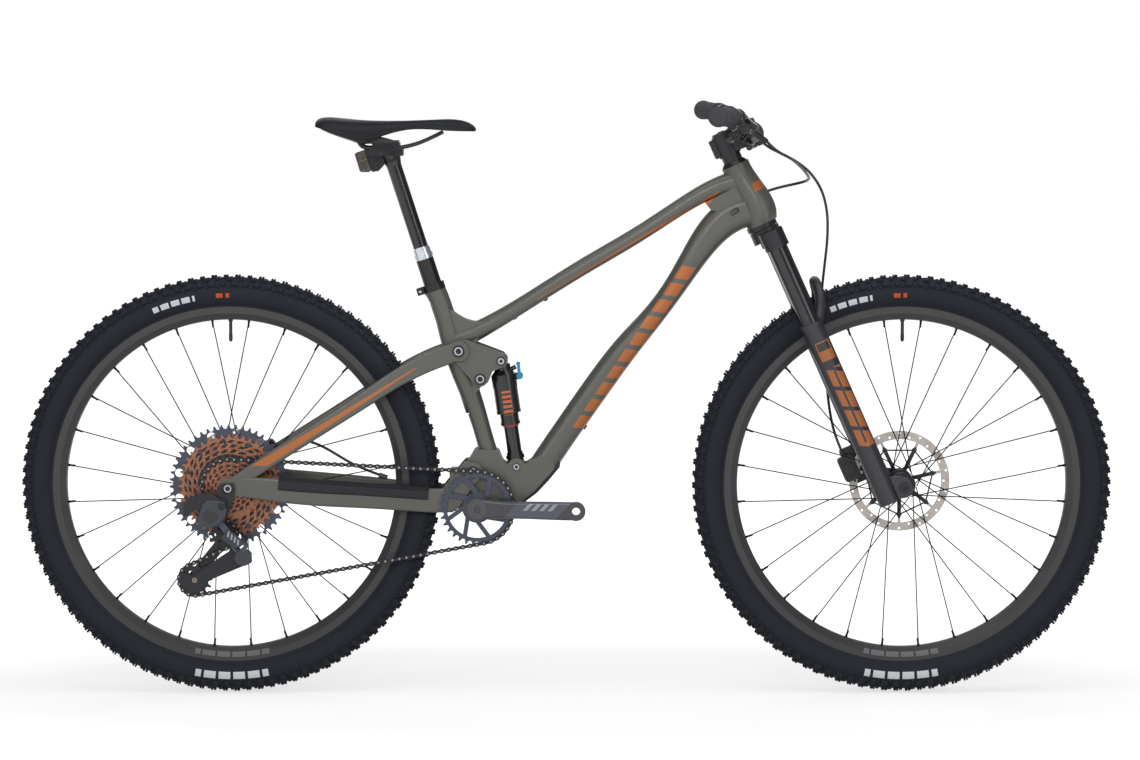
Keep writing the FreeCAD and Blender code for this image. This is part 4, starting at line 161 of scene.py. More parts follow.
def make_floor():
    mesh = bpy.data.meshes.new("floor")
    mesh.from_pydata([(x * FLOOR_HALF, y * FLOOR_HALF, FLOOR_LEVEL)
                      for x, y in ((-1, -1), (1, -1), (1, 1), (-1, 1))], [], [(0, 1, 2, 3)])
    floor = put_in_scene("floor", mesh)
    material = bpy.data.materials.new("floor_white")
    material.use_nodes = True
    tree = material.node_tree
    tree.nodes.remove(tree.nodes["Principled BSDF"])
    matt = tree.nodes.new("ShaderNodeBsdfDiffuse")
    matt.inputs["Color"].default_value = (FLOOR_GREY, FLOOR_GREY, FLOOR_GREY, 1.0)
    glow = tree.nodes.new("ShaderNodeEmission")
    glow.inputs["Color"].default_value = (1.0, 1.0, 1.0, 1.0)
    # plain white away from the object, and dim enough near it to show its shadow
    place = tree.nodes.new("ShaderNodeTexCoord")
    narrowed = tree.nodes.new("ShaderNodeVectorMath")
    narrowed.operation = "MULTIPLY"
    narrowed.inputs[1].default_value = (1.0 / GLOW_STRETCH, 1.0, 0.0)
    tree.links.new(place.outputs["Object"], narrowed.inputs[0])
    reach = tree.nodes.new("ShaderNodeVectorMath")
    reach.operation = "LENGTH"
    tree.links.new(narrowed.outputs[0], reach.inputs[0])
    level = tree.nodes.new("ShaderNodeMapRange")
    for socket, value in zip(level.inputs[1:5], (GLOW_NEAR[0], GLOW_FAR[0], GLOW_NEAR[1], GLOW_FAR[1])):
        socket.default_value = value
    tree.links.new(reach.outputs["Value"], level.inputs[0])
    scaled = maths(tree, "MULTIPLY", level.outputs[0], seen_directly(tree))
    tree.links.new(scaled, glow.inputs["Strength"])
    both = tree.nodes.new("ShaderNodeAddShader")
    tree.links.new(matt.outputs[0], both.inputs[0])
    tree.links.new(glow.outputs[0], both.inputs[1])
    tree.links.new(both.outputs[0], tree.nodes["Material Output"].inputs["Surface"])
    mesh.materials.append(material)


make_camera()
make_world()
make_floor()
scene.view_settings.view_transform = "Standard"
area_light("overhead", (0.3, -0.8, 3.4), (0.0, 0.0, 0.5), 4.5, 2.0, 52.0)
area_light("front", (0.0, -5.6, 2.3), (0.0, 0.0, 0.5), 2.6, 1.6, 92.0)
area_light("front_left", (-3.0, -4.2, 1.9), (-0.2, 0.0, 0.5), 2.0, 2.4, 44.0)
area_light("front_right", (3.2, -3.8, 1.6), (0.2, 0.0, 0.5), 2.0, 2.4, 34.0)
area_light("behind", (0.0, 3.6, 2.4), (0.0, 0.0, 0.5), 4.0, 1.6, 26.0)


# ---- material builder

class Finish:
    """One procedural material: fine colour variation, its own roughness and bump, and painted marks."""

    def __init__(self, name, colour, rough=0.5, metallic=0.0, spread=0.08, grain=260.0, bump=0.05,
                 coat=0.0, specular=0.5):
        self.material = bpy.data.materials.new(name)
        self.material.use_nodes = True
        self.tree = self.material.node_tree
        self.shader = self.tree.nodes["Principled BSDF"]
        self.place = self.add("ShaderNodeTexCoord").outputs["Object"]
        self.split = None
        self.shader.inputs["Specular IOR Level"].default_value = specular
        if coat:
            self.shader.inputs["Coat Weight"].default_value = coat
            self.shader.inputs["Coat Roughness"].default_value = 0.12
        speck = self.noise(grain, 4.0)
        cloud = self.noise(grain / 25.0, 2.0)
        blend = self.calc("ADD", self.calc("MULTIPLY", speck, 0.55), self.calc("MULTIPLY", cloud, 0.45))
        low = tuple(c * (1.0 - spread) for c in colour[:3]) + (1.0,)
        high = tuple(c * (1.0 + spread) for c in colour[:3]) + (1.0,)
        self.colour = self.mix(self.stretch(blend, 0.3, 0.7, 0.0, 1.0), low, high)
        self.rough = self.stretch(cloud, 0.3, 0.7, max(0.03, rough - 0.05), min(1.0, rough + 0.05))
        self.metallic = None
        self.shader.inputs["Metallic"].default_value = metallic
        self.metal = metallic
        self.relief = speck
        self.bump = bump

    def add(self, kind):
        return self.tree.nodes.new(kind)

    def feed(self, socket, value):
        if isinstance(value, bpy.types.NodeSocket):
            self.tree.links.new(value, socket)
        else:
            socket.default_value = value

    def calc(self, operation, a, b=0.0):
        node = self.add("ShaderNodeMath")
        node.operation = operation
        for socket, value in zip(node.inputs, (a, b)):
            self.feed(socket, value)
        return node.outputs[0]

    def stretch(self, value, low, high, out_low, out_high):
        node = self.add("ShaderNodeMapRange")
        for socket, item in zip(node.inputs, (value, low, high, out_low, out_high)):
            self.feed(socket, item)
        return node.outputs[0]

    def mix(self, share, a, b):
        node = self.add("ShaderNodeMix")
        node.data_type = "RGBA"
        self.feed(node.inputs[0], share)
        self.feed(node.inputs[6], a)
        self.feed(node.inputs[7], b)
        return node.outputs[2]

    def noise(self, scale, detail):
        node = self.add("ShaderNodeTexNoise")
        node.inputs["Scale"].default_value = scale
        node.inputs["Detail"].default_value = detail
        self.feed(node.inputs["Vector"], self.place)
        return node.outputs["Fac"]

    def axis(self, name):
        if self.split is None:
            self.split = self.add("ShaderNodeSeparateXYZ")
            self.feed(self.split.inputs[0], self.place)
        return self.split.outputs[name]

    def across(self, point, direction):
        """Distance of the surface from a side-view point (x, z) along a side-view direction."""
        x = self.calc("MULTIPLY", self.calc("SUBTRACT", self.axis("X"), point[0]), direction[0])
        z = self.calc("MULTIPLY", self.calc("SUBTRACT", self.axis("Z"), point[1]), direction[1])
        return self.calc("ADD", x, z)

    def within(self, value, low, high):
        """1 between two limits, 0 outside them."""
        above = self.calc("GREATER_THAN", value, low)
        below = self.calc("LESS_THAN", value, high)
        return self.calc("MULTIPLY", above, below)

    def both(self, a, b):
        return self.calc("MULTIPLY", a, b)

    def either(self, a, b):
        return self.calc("MAXIMUM", a, b)

    def stripes(self, value, pitch, share):
        """1 on the first share of every pitch."""
        return self.calc("LESS_THAN", self.calc("FRACT", self.calc("DIVIDE", value, pitch)), share)

    def line_frame(self, start, end):
        """Distance along, and sideways from, a side-view line, with its length."""
        step = (end[0] - start[0], end[1] - start[1])
        length = math.hypot(*step)
        way = (step[0] / length, step[1] / length)
        return self.across(start, way), self.across(start, (-way[1], way[0])), length

    def wedge(self, start, end, start_half, end_half):
        """Straight band between two side-view points, whose half width changes evenly."""
        along, side, length = self.line_frame(start, end)
        half = self.stretch(along, 0.0, length, start_half, end_half)
        inside = self.calc("LESS_THAN", self.calc("ABSOLUTE", side), half)
        return self.both(inside, self.within(along, 0.0, length))

    def blocks(self, start, end, half, pitch, share, slant=0.0):
        """Row of plain slanted blocks along a side-view line."""
        along, side, length = self.line_frame(start, end)
        shifted = self.calc("ADD", along, self.calc("MULTIPLY", side, slant))
        inside = self.calc("LESS_THAN", self.calc("ABSOLUTE", side), half)
        inside = self.both(inside, self.within(shifted, 0.0, length))
        return self.both(inside, self.stripes(shifted, pitch, share))

    def wheel_frame(self, centre):
        """Distance from a wheel's axle, and angle round it in degrees."""
        x = self.calc("SUBTRACT", self.axis("X"), centre.x)
        z = self.calc("SUBTRACT", self.axis("Z"), centre.z)
        reach = self.calc("SQRT", self.calc("ADD", self.calc("MULTIPLY", x, x), self.calc("MULTIPLY", z, z)))
        angle = self.calc("MULTIPLY", self.calc("ARCTAN2", z, x), 180.0 / math.pi)
        return reach, angle

    def arc_blocks(self, centre, low, high, middle, half_angle, pitch, share):
        """Row of plain blocks on an arc about a wheel's axle; angles in degrees."""
        reach, angle = self.wheel_frame(centre)
        turned = self.calc("SUBTRACT", angle, middle)
        inside = self.both(self.within(reach, low, high), self.within(turned, -half_angle, half_angle))
        return self.both(inside, self.stripes(self.calc("ADD", turned, 180.0), pitch, share))

    def paint(self, mask, colour, rough=None, metallic=None):
        """Another colour, and its gloss, where the mask is 1."""
        self.colour = self.mix(mask, self.colour, colour)
        if rough is not None:
            gap = self.calc("SUBTRACT", rough, self.rough)
            self.rough = self.calc("ADD", self.rough, self.calc("MULTIPLY", mask, gap))
        if metallic is not None:
            base = self.metallic if self.metallic is not None else self.metal
            gap = self.calc("SUBTRACT", metallic, base)
            self.metallic = self.calc("ADD", base, self.calc("MULTIPLY", mask, gap))

    def raise_by(self, height):
        """More relief, where 1 is a full step of the bump."""
        self.relief = self.calc("ADD", self.relief, height)

    def done(self, distance=0.0004):
        self.feed(self.shader.inputs["Base Color"], self.colour)
        self.feed(self.shader.inputs["Roughness"], self.rough)
        if self.metallic is not None:
            self.feed(self.shader.inputs["Metallic"], self.metallic)
        node = self.add("ShaderNodeBump")
        node.inputs["Strength"].default_value = self.bump
        node.inputs["Distance"].default_value = distance
        self.feed(node.inputs["Height"], self.relief)
        self.feed(self.shader.inputs["Normal"], node.outputs[0])
        return self.material


COPPER = tone(170, 98, 46)
MARK_GREY = tone(150, 152, 158)
MARK_WHITE = tone(214, 216, 220)
BOLT_RING = tone(176, 176, 180)


def ring_bolts(f, bolts):
    """Bright rings on bolt heads, given as (centre, inner reach, outer reach)."""
    for centre, low, high in bolts:
        reach = f.wheel_frame(centre)[0]
        f.paint(f.within(reach, low, high), BOLT_RING, rough=0.3, metallic=0.7)


def frame_finish(name):
    """Satin gunmetal paint with copper stripes and plain copper blocks."""
    f = Finish(name, tone(89, 88, 82), rough=0.42, metallic=0.30, spread=0.03, grain=1500.0, bump=0.005,
               coat=0.12)
    stripe = f.wedge((-0.052, 0.7040), (0.154, 0.8265), 0.0007, 0.0020)
    stripe = f.either(stripe, f.wedge((0.153, 0.8260), (0.245, 0.8747), 0.0020, 0.0055))
    stripe = f.either(stripe, f.wedge((0.2445, 0.8745), (0.271, 0.8965), 0.0062, 0.0004))
    stay = f.wedge((-0.556, 0.4045), (-0.2655, 0.5842), 0.0078, 0.0010)
    stay = f.both(stay, f.calc("GREATER_THAN", f.axis("Z"), 0.4140))
    letters = f.blocks((0.0240, 0.4750), (0.2205, 0.7680), 0.0120, 0.0355, 0.74, slant=0.45)
    badge = f.wedge((0.330, 0.902), (0.348, 0.9095), 0.008, 0.008)
    for mask in (stripe, stay, letters, badge):
        f.paint(mask, COPPER, rough=0.42)
    return f


def rocker_finish():
    """The frame's paint, with a black bolt head that carries a bright ring."""
    f = frame_finish("rocker_satin")
    reach = f.wheel_frame(SHOCK_TOP)[0]
    f.paint(f.calc("LESS_THAN", reach, 0.0081), tone(30, 30, 32), rough=0.4)
    ring_bolts(f, ((SHOCK_TOP, 0.0030, 0.0056),))
    return f.done()


def bolt_finish(name, bolts):
    """Black bolt heads with bright rings round their sockets."""
    f = Finish(name, tone(30, 30, 33), rough=0.36, metallic=0.35, spread=0.08, grain=800.0, bump=0.04)
    ring_bolts(f, bolts)
    return f.done()


def plain(name, colour, **settings):
    return Finish(name, colour, **settings).done()


def crank_finish():
    """Dark carbon arm with a slate middle and plain pale bars."""
    f = Finish("crank_carbon", tone(46, 46, 52), rough=0.34, spread=0.10, grain=420.0, bump=0.05, coat=0.3)
    middle = f.blocks((-0.100, 0.333), (-0.008, 0.3315), 0.020, 0.2, 0.46, slant=-0.9)
    f.paint(middle, tone(70, 72, 84), rough=0.36)
    bars = f.blocks((-0.072, 0.3405), (-0.018, 0.3395), 0.006, 0.0145, 0.55, slant=-0.9)
    f.paint(bars, MARK_GREY, rough=0.40)
    reach = f.wheel_frame(BOTTOM_BRACKET)[0]
    for low, high in ((0.0078, 0.0086), (0.0116, 0.0124), (0.0150, 0.0156)):
        f.paint(f.within(reach, low, high), tone(98, 100, 110), rough=0.36)
    return f.done()


def rotor_finish(name, centre):
    """Ground steel braking band on a black spider."""
    f = Finish(name, tone(176, 170, 164), rough=0.34, metallic=0.75, spread=0.06, grain=1500.0, bump=0.06)
    reach = f.wheel_frame(centre)[0]
    rings = f.calc("SINE", f.calc("MULTIPLY", reach, 9000.0))
    f.raise_by(f.calc("MULTIPLY", rings, 0.4))
    f.paint(f.calc("LESS_THAN", reach, 0.0672), tone(30, 30, 32), rough=0.5, metallic=0.1)
    return f.done()


def cassette_finish():
    """Copper coloured cogs, darker inward of their teeth, where painted shade stands in for their windows,
    and with a band of painted shadow in the gap between two middle cogs on the upper side.
    """
    f = Finish("cassette_copper", tone(146, 98, 76), rough=0.38, metallic=0.75, spread=0.14, grain=700.0,
               bump=0.06)
    reach, angle = f.wheel_frame(REAR_AXLE)
    slanted = f.calc("ADD", f.calc("ADD", angle, 180.0), f.calc("MULTIPLY", reach, 900.0))
    # painted shade: dark spots in these rings take the place of the windows cut through the cogs
    for low, high, pitch in ((0.0215, 0.0248, 30.0), (0.0278, 0.0318, 24.0), (0.0348, 0.0392, 20.0),
                             (0.0425, 0.0472, 17.0), (0.0592, 0.0650, 15.0), (0.0682, 0.0738, 13.0),
                             (0.0765, 0.0812, 12.0)):
        window_shade = f.both(f.within(reach, low, high), f.stripes(slanted, pitch, 0.60))
        f.paint(window_shade, tone(34, 31, 31), rough=0.6, metallic=0.1)
    # painted shadow: a dark band in the gap between two middle cogs, on the upper part of the cassette only
    band = f.within(reach, 0.0520, 0.0570)
    f.paint(f.both(band, f.calc("GREATER_THAN", angle, 40.0)), tone(38, 34, 34), rough=0.5, metallic=0.2)
    return f.done()


def tyre_finish(name, centre, middle):
    """Black rubber with plain pale blocks where tyres carry their size."""
    f = Finish(name, tone(35, 38, 45), rough=0.72, spread=0.12, grain=500.0, bump=0.12, specular=0.2)
    f.paint(f.arc_blocks(centre, 0.3325, 0.3425, middle, 6.6, 3.3, 0.78), MARK_WHITE, rough=0.6)
    f.paint(f.arc_blocks(centre, 0.3335, 0.3415, middle - 15.0, 2.0, 9.0, 0.9), tone(196, 84, 44), rough=0.6)
    f.paint(f.arc_blocks(centre, 0.3355, 0.3485, -90.0, 11.0, 4.4, 0.80), MARK_WHITE, rough=0.6)
    return f.done(0.0006)


def rim_finish(name, centre):
    """Satin carbon rim with a faint plain grey bar."""
    f = Finish(name, tone(47, 44, 46), rough=0.46, spread=0.08, grain=380.0, bump=0.05, coat=0.1)
    f.paint(f.arc_blocks(centre, 0.3010, 0.3100, -90.0, 12.5, 5.0, 0.86), tone(104, 102, 104), rough=0.45)
    return f.done()


def steer_frame(f):
    """Height above the head tube's foot and distance forward, along the steering axis."""
    height = f.across((HEAD_FOOT.x, HEAD_FOOT.z), (STEER_UP.x, STEER_UP.z))
    forward = f.across((HEAD_FOOT.x, HEAD_FOOT.z), (STEER_FORWARD.x, STEER_FORWARD.z))
    return height, forward


def fork_finish():
    """Satin black legs with a plain copper frame and bars."""
    f = Finish("fork_satin", tone(40, 39, 45), rough=0.46, spread=0.06, grain=800.0, bump=0.05, coat=0.1)
    height, forward = steer_frame(f)
    outside = f.calc("GREATER_THAN", f.calc("ABSOLUTE", f.axis("Y")), 0.066)
    panel = f.both(f.within(height, -0.2620, -0.2270), f.within(forward, -0.0020, 0.0240))
    inner = f.both(f.within(height, -0.2435, -0.2290), f.within(forward, 0.0002, 0.0218))
    panel = f.both(panel, f.calc("SUBTRACT", 1.0, inner))
    bars = f.both(f.within(height, -0.4300, -0.2760), f.within(forward, -0.0010, 0.0250))
    lean = f.calc("ADD", height, f.calc("MULTIPLY", forward, 0.5))
    gaps = f.stripes(lean, 0.0385, 0.80)
    slot = f.both(f.within(forward, 0.0100, 0.0140), f.within(height, -0.4220, -0.2840))
    bars = f.both(f.both(bars, gaps), f.calc("SUBTRACT", 1.0, slot))
    f.paint(f.both(outside, f.either(panel, bars)), COPPER, rough=0.45)
    return f.done()


def stanchion_finish():
    """Hard black anodised tube."""
    return plain("stanchion_black", tone(40, 39, 42), rough=0.16, metallic=0.55, spread=0.05, grain=1200.0,
                 bump=0.02, coat=0.4)


def shock_finish():
    """Black air can with plain orange bars, and the red ring at its foot."""
    f = Finish("shock_black", tone(30, 30, 34), rough=0.26, metallic=0.25, spread=0.08, grain=700.0,
               bump=0.03, coat=0.3)
    along, side = f.line_frame((SHOCK_FOOT.x, SHOCK_FOOT.z), (SHOCK_TOP.x, SHOCK_TOP.z))[:2]
    outside = f.calc("GREATER_THAN", f.calc("ABSOLUTE", f.axis("Y")), 0.008)
    bars = f.both(f.within(along, 0.092, 0.136), f.within(side, -0.008, 0.008))
    bars = f.both(bars, f.stripes(along, 0.0088, 0.55))
    f.paint(f.both(outside, bars), tone(190, 96, 40), rough=0.4)
    f.paint(f.within(along, 0.0700, 0.0741), tone(190, 40, 50), rough=0.4, metallic=0.0)
    return f.done()


def chainstay_guard_finish():
    """Soft black rubber with slanting ribs."""
    f = Finish("guard_rubber", tone(30, 30, 34), rough=0.7, spread=0.1, grain=600.0, bump=0.35, specular=0.25)
    along, side = f.line_frame((REAR_AXLE.x, REAR_AXLE.z), (BOTTOM_BRACKET.x, BOTTOM_BRACKET.z))[:2]
    lean = f.calc("ADD", along, f.calc("MULTIPLY", side, 1.1))
    raised = f.both(f.stripes(lean, 0.0062, 0.5), f.within(side, 0.006, 0.0215))
    f.raise_by(f.calc("MULTIPLY", raised, 4.0))
    f.paint(raised, tone(60, 60, 64), rough=0.6)
    return f.done(0.0008)


def grip_finish():
    return plain("grip_rubber", tone(58, 58, 62), rough=0.78, spread=0.12, grain=900.0, bump=0.2)


def saddle_finish():
    """Fine grained black cover."""
    f = Finish("saddle_cover", tone(27, 28, 32), rough=0.52, spread=0.08, grain=420.0, bump=0.14,
               specular=0.22)
    cells = f.add("ShaderNodeTexVoronoi")
    cells.inputs["Scale"].default_value = 900.0
    f.feed(cells.inputs["Vector"], f.place)
    f.raise_by(f.calc("MULTIPLY", cells.outputs["Distance"], 1.2))
    return f.done(0.0003)


def slate_marks_finish(name, start, end):
    """Slate alloy with plain pale strokes along a line."""
    f = Finish(name, tone(50, 54, 65), rough=0.36, metallic=0.45, spread=0.08, grain=700.0, bump=0.04,
               coat=0.15)
    f.paint(f.blocks(start, end, 0.0042, 0.0075, 0.5, slant=0.6), MARK_GREY, rough=0.4)
    return f.done()


def cage_finish():
    """Black cage with the pale bolt of its lower pulley."""
    f = Finish("cage_black", tone(36, 36, 41), rough=0.38, metallic=0.35, spread=0.08, grain=800.0, bump=0.04)
    reach = f.wheel_frame(TENSION_PULLEY)[0]
    for low, high, colour in ((0.0, 0.0046, tone(150, 140, 128)), (0.0014, 0.0024, tone(50, 46, 44))):
        f.paint(f.within(reach, low, high), colour, rough=0.35)
    return f.done()


def battery_finish():
    """Dark shell with a mottled brown end."""
    f = Finish("battery_shell", tone(40, 38, 37), rough=0.5, spread=0.10, grain=500.0, bump=0.08)
    mottle = f.noise(340.0, 2.0)
    f.paint(f.calc("GREATER_THAN", mottle, 0.54), tone(104, 88, 66), rough=0.5)
    return f.done()


def chain_finish():
    """Dark plates with bright pin ends."""
    f = Finish("chain_steel", tone(44, 43, 46), rough=0.32, metallic=0.7, spread=0.12, grain=900.0, bump=0.05)
    aside = f.calc("ABSOLUTE", f.calc("ADD", f.axis("Y"), CHAIN_LINE))
    f.paint(f.calc("GREATER_THAN", aside, CHAIN_PLATE_FACE), tone(150, 148, 148), rough=0.3)
    return f.done()


PAINT = frame_finish("frame_satin").done()
ALLOY = plain("black_alloy", tone(36, 36, 39), rough=0.36, metallic=0.35, spread=0.08, grain=800.0, bump=0.04)
SILVER = plain("silver_alloy", tone(196, 200, 206), rough=0.24, metallic=0.85, spread=0.05, grain=900.0,
               bump=0.03)
RUBBER = plain("moulded_rubber", tone(34, 34, 37), rough=0.66, spread=0.10, grain=700.0, bump=0.12)
PLASTIC = plain("black_plastic", tone(34, 34, 37), rough=0.44, spread=0.10, grain=600.0, bump=0.10)
CARBON = plain("carbon_bar", tone(38, 38, 41), rough=0.38, spread=0.10, grain=500.0, bump=0.05, coat=0.2)
POST = plain("post_black", tone(19, 19, 21), rough=0.30, spread=0.06, grain=700.0, bump=0.04, metallic=0.2)
SLATE = plain("slate_alloy", tone(62, 67, 80), rough=0.34, metallic=0.5, spread=0.08, grain=700.0, bump=0.04,
              coat=0.15)
COVER_SLATE = plain("cover_slate", tone(46, 50, 59), rough=0.30, metallic=0.35, spread=0.08, grain=700.0,
                    bump=0.04, coat=0.3)
CHAIN = chain_finish()
SPOKE = plain("spoke_black", tone(13, 13, 14), rough=0.5, spread=0.08, grain=900.0, bump=0.03, specular=0.15)
BLUE = plain("blue_alloy", tone(50, 130, 170), rough=0.30, metallic=0.6, spread=0.06, grain=900.0, bump=0.03)
HOSE = plain("hose_black", tone(24, 24, 26), rough=0.42, spread=0.08, grain=900.0, bump=0.06)
BATTERY = battery_finish()

NODE_FINISH = {
    "main_frame": PAINT, "swingarm": PAINT, "rocker": rocker_finish(),
    "bearing_cups": ALLOY, "seat_collar": bolt_finish("collar_bolt", ((COLLAR_BOLT, 0.0, 0.0024),)),
    "frame_hardware": bolt_finish("frame_bolts", (
        (ROCKER_PIVOT, 0.0048, 0.0070), (SHOCK_FOOT, 0.0030, 0.0052), (MAIN_PIVOT, 0.0062, 0.0080))),
    "swingarm_hardware": bolt_finish("stay_bolts", (
        (STAY_PIVOT, 0.0050, 0.0074), (REAR_AXLE, 0.0044, 0.0066))),
    "down_tube_guard": RUBBER, "chainstay_guard": chainstay_guard_finish(),
    "dropper_outer": POST, "dropper_collar": SILVER, "dropper_stanchion": stanchion_finish(),
    "dropper_battery": BATTERY, "saddle_rails": ALLOY,
    "steerer_and_crown": ALLOY, "stanchions": stanchion_finish(), "stem": ALLOY, "handlebar": CARBON,
    "brake_master_cylinders": ALLOY, "right_brake_lever": ALLOY, "left_brake_lever": ALLOY,
    "control_pods": PLASTIC, "shift_paddle": PLASTIC, "dropper_paddle": PLASTIC, "compression_dial": ALLOY,
    "fork_lowers": fork_finish(), "front_axle": ALLOY, "front_caliper": ALLOY, "rear_caliper": ALLOY,
    "front_rim": rim_finish("front_rim_carbon", FRONT_AXLE),
    "rear_rim": rim_finish("rear_rim_carbon", REAR_AXLE),
    "front_spokes": SPOKE, "rear_spokes": SPOKE, "front_hub": ALLOY, "rear_hub": ALLOY,
    "front_rotor": rotor_finish("front_rotor_steel", FRONT_AXLE),
    "rear_rotor": rotor_finish("rear_rotor_steel", REAR_AXLE),
    "derailleur_mount": ALLOY, "derailleur_outer_link": SLATE, "derailleur_inner_link": ALLOY,
    "derailleur_knuckle": SLATE, "derailleur_cage": cage_finish(),
    "guide_pulley": ALLOY, "tension_pulley": ALLOY,
    "cassette": cassette_finish(), "large_cog": SLATE, "chainring": SLATE,
    "drive_crank_arm": crank_finish(), "left_crank_arm": crank_finish(),
    "shock_shaft": stanchion_finish(), "shock_air_can": shock_finish(), "shock_lever": BLUE,
}
for node_name, material in NODE_FINISH.items():
    mesh = nodes[node_name].data
    mesh.materials.clear()
    mesh.materials.append(material)


# ---- mesh builders

def make_piece(name, corners, faces, material, body, crease=35.0):
    """Closed mesh piece, smooth except at edges sharper than the crease angle."""
    mesh = bpy.data.meshes.new(name)
    mesh.from_pydata([tuple(c) for c in corners], [], faces)
    work = bmesh.new()
    work.from_mesh(mesh)
    bmesh.ops.recalc_face_normals(work, faces=work.faces)
    work.to_mesh(mesh)
    work.free()
    mesh.shade_smooth()
    mesh.set_sharp_from_angle(angle=math.radians(crease))
    mesh.materials.append(material)
    piece = put_in_scene(name, mesh)
    if body:
        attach(piece, body)
    return piece


def turn_profile(corners, profile, centre, axis, start, steps):
    """Adds the corners of a profile of (reach, distance along the axis), turned about a centre."""
    side = axis.cross(start)
    for i in range(steps):
        angle = 2.0 * math.pi * i / steps
        out = start * math.cos(angle) + side * math.sin(angle)
        corners.extend(centre + out * reach + axis * along for reach, along in profile)


def lathe(corners, faces, profile, centre, axis, start, steps):
    """Adds a turned ring with a closed profile."""
    first = len(corners)
    count = len(profile)
    turn_profile(corners, profile, centre, axis, start, steps)
    for i in range(steps):
        this = first + i * count
        following = first + ((i + 1) % steps) * count
        for j in range(count):
            k = (j + 1) % count
            faces.append((this + j, this + k, following + k, following + j))


def solid_of_turning(corners, faces, profile, centre, axis, start, steps):
    """Adds a turned solid whose profile starts and ends on the axis."""
    low = len(corners)
    corners.append(centre + axis * profile[0][1])
    rings = profile[1:-1]
    first = len(corners)
    turn_profile(corners, rings, centre, axis, start, steps)
    high = len(corners)
    corners.append(centre + axis * profile[-1][1])
    count = len(rings)
    for i in range(steps):
        this = first + i * count
        following = first + ((i + 1) % steps) * count
        faces.append((low, this, following))
        for j in range(count - 1):
            faces.append((this + j, this + j + 1, following + j + 1, following + j))
        faces.append((this + count - 1, high, following + count - 1))


def add_block(corners, faces, origin, along, across, out, size, taper=0.12, chamfer=0.0008, sunk=0.0015):
    """Adds a tapered block with a chamfered top, such as a tread knob."""
    length, width, height = size
    first = len(corners)
    levels = ((-sunk, 1.0, 0.0), (height - chamfer, 1.0 - taper, 0.0), (height, 1.0 - taper, chamfer))
    for rise, share, inset in levels:
        for a, b in ((-1, -1), (1, -1), (1, 1), (-1, 1)):
            corners.append(origin + along * a * (length / 2 * share - inset)
                           + across * b * (width / 2 * share - inset) + out * rise)
    for level in range(2):
        for i in range(4):
            low = first + level * 4
            faces.append((low + i, low + (i + 1) % 4, low + 4 + (i + 1) % 4, low + 4 + i))
    faces.append((first + 3, first + 2, first + 1, first))
    faces.append((first + 8, first + 9, first + 10, first + 11))


def rounded_outline(corners, radius, steps=5):
    """Side-view outline whose corners are eased over the given length."""
    points = []
    count = len(corners)
    for i, corner in enumerate(corners):
        here = Vector(corner)
        back = Vector(corners[i - 1]) - here
        ahead = Vector(corners[(i + 1) % count]) - here
        first = here + back.normalized() * min(radius, 0.45 * back.length)
        last = here + ahead.normalized() * min(radius, 0.45 * ahead.length)
        for k in range(steps + 1):
            t = k / steps
            points.append(first * (1 - t) ** 2 + here * 2 * t * (1 - t) + last * t ** 2)
    return points


def make_cover(name, outline, near, far, material, body, radius=0.004, chamfer=0.0008):
    """Plate between two depths on the drive side, with an eased outline and a chamfered outer edge."""
    ring = rounded_outline(outline, radius)
    count = len(ring)
    area = sum(ring[i - 1].x * ring[i].y - ring[i].x * ring[i - 1].y for i in range(count))
    turn = 1.0 if area > 0 else -1.0
    corners, faces = [], []
    for depth, inset in ((near, 0.0), (far + chamfer, 0.0), (far, chamfer)):
        for i in range(count):
            run = (ring[(i + 1) % count] - ring[i - 1]).normalized()
            spot = ring[i] + Vector((-run.y, run.x)) * inset * turn
            corners.append(Vector((spot.x, depth, spot.y)))
    for level in range(2):
        for i in range(count):
            k = (i + 1) % count
            low, high = level * count, (level + 1) * count
            faces.append((low + i, low + k, high + k, high + i))
    faces.append(tuple(range(count)))
    faces.append(tuple(2 * count + i for i in reversed(range(count))))
    return make_piece(name, corners, faces, material, body, crease=25.0)


def loft(corners, faces, rings):
    """Adds a closed skin through equal rings, with a flat face at each end."""
    first = len(corners)
    count = len(rings[0])
    for ring in rings:
        corners.extend(ring)
    for i in range(len(rings) - 1):
        low = first + i * count
        for j in range(count):
            k = (j + 1) % count
            faces.append((low + j, low + k, low + count + k, low + count + j))
    faces.append(tuple(first + j for j in reversed(range(count))))
    last = first + (len(rings) - 1) * count
    faces.append(tuple(last + j for j in range(count)))


def route(points):
    """A smooth line through a list of points, as an open curve object."""
    data = bpy.data.curves.new("route", "CURVE")
    data.dimensions = "3D"
    data.resolution_u = 8
    spline = data.splines.new("NURBS")
    spline.points.add(len(points) - 1)
    for knot, point in zip(spline.points, points):
        knot.co = (*point, 1.0)
    spline.order_u = 3
    spline.use_endpoint_u = True
    return put_in_scene("route", data)


def tube_mesh(points, radius, material):
    """Capped tube along the smooth line of a route, and the points that it follows."""
    line = route(points)
    path = [v.co.copy() for v in bpy.data.meshes.new_from_object(line).vertices]
    line.data.bevel_depth = radius
    line.data.bevel_resolution = 3
    line.data.use_fill_caps = True
    mesh = bpy.data.meshes.new_from_object(line)
    bpy.data.objects.remove(line)
    mesh.materials.clear()
    mesh.materials.append(material)
    mesh.shade_smooth()
    return mesh, path


# ---- tyres

TYRE_RING = 0.3405
CASING_HALF_WIDTH = 0.0275
CASING_HEIGHT = 0.0285
RIM_LIP = 0.3178
ROWS = 110


def casing_point(angle):
    """Reach and side distance of the casing at an angle from its crown, with its outward slope."""
    reach = TYRE_RING + CASING_HEIGHT * math.cos(angle)
    side = CASING_HALF_WIDTH * math.sin(angle)
    slope = math.atan2(math.sin(angle) / CASING_HALF_WIDTH, math.cos(angle) / CASING_HEIGHT)
    return reach, side, slope


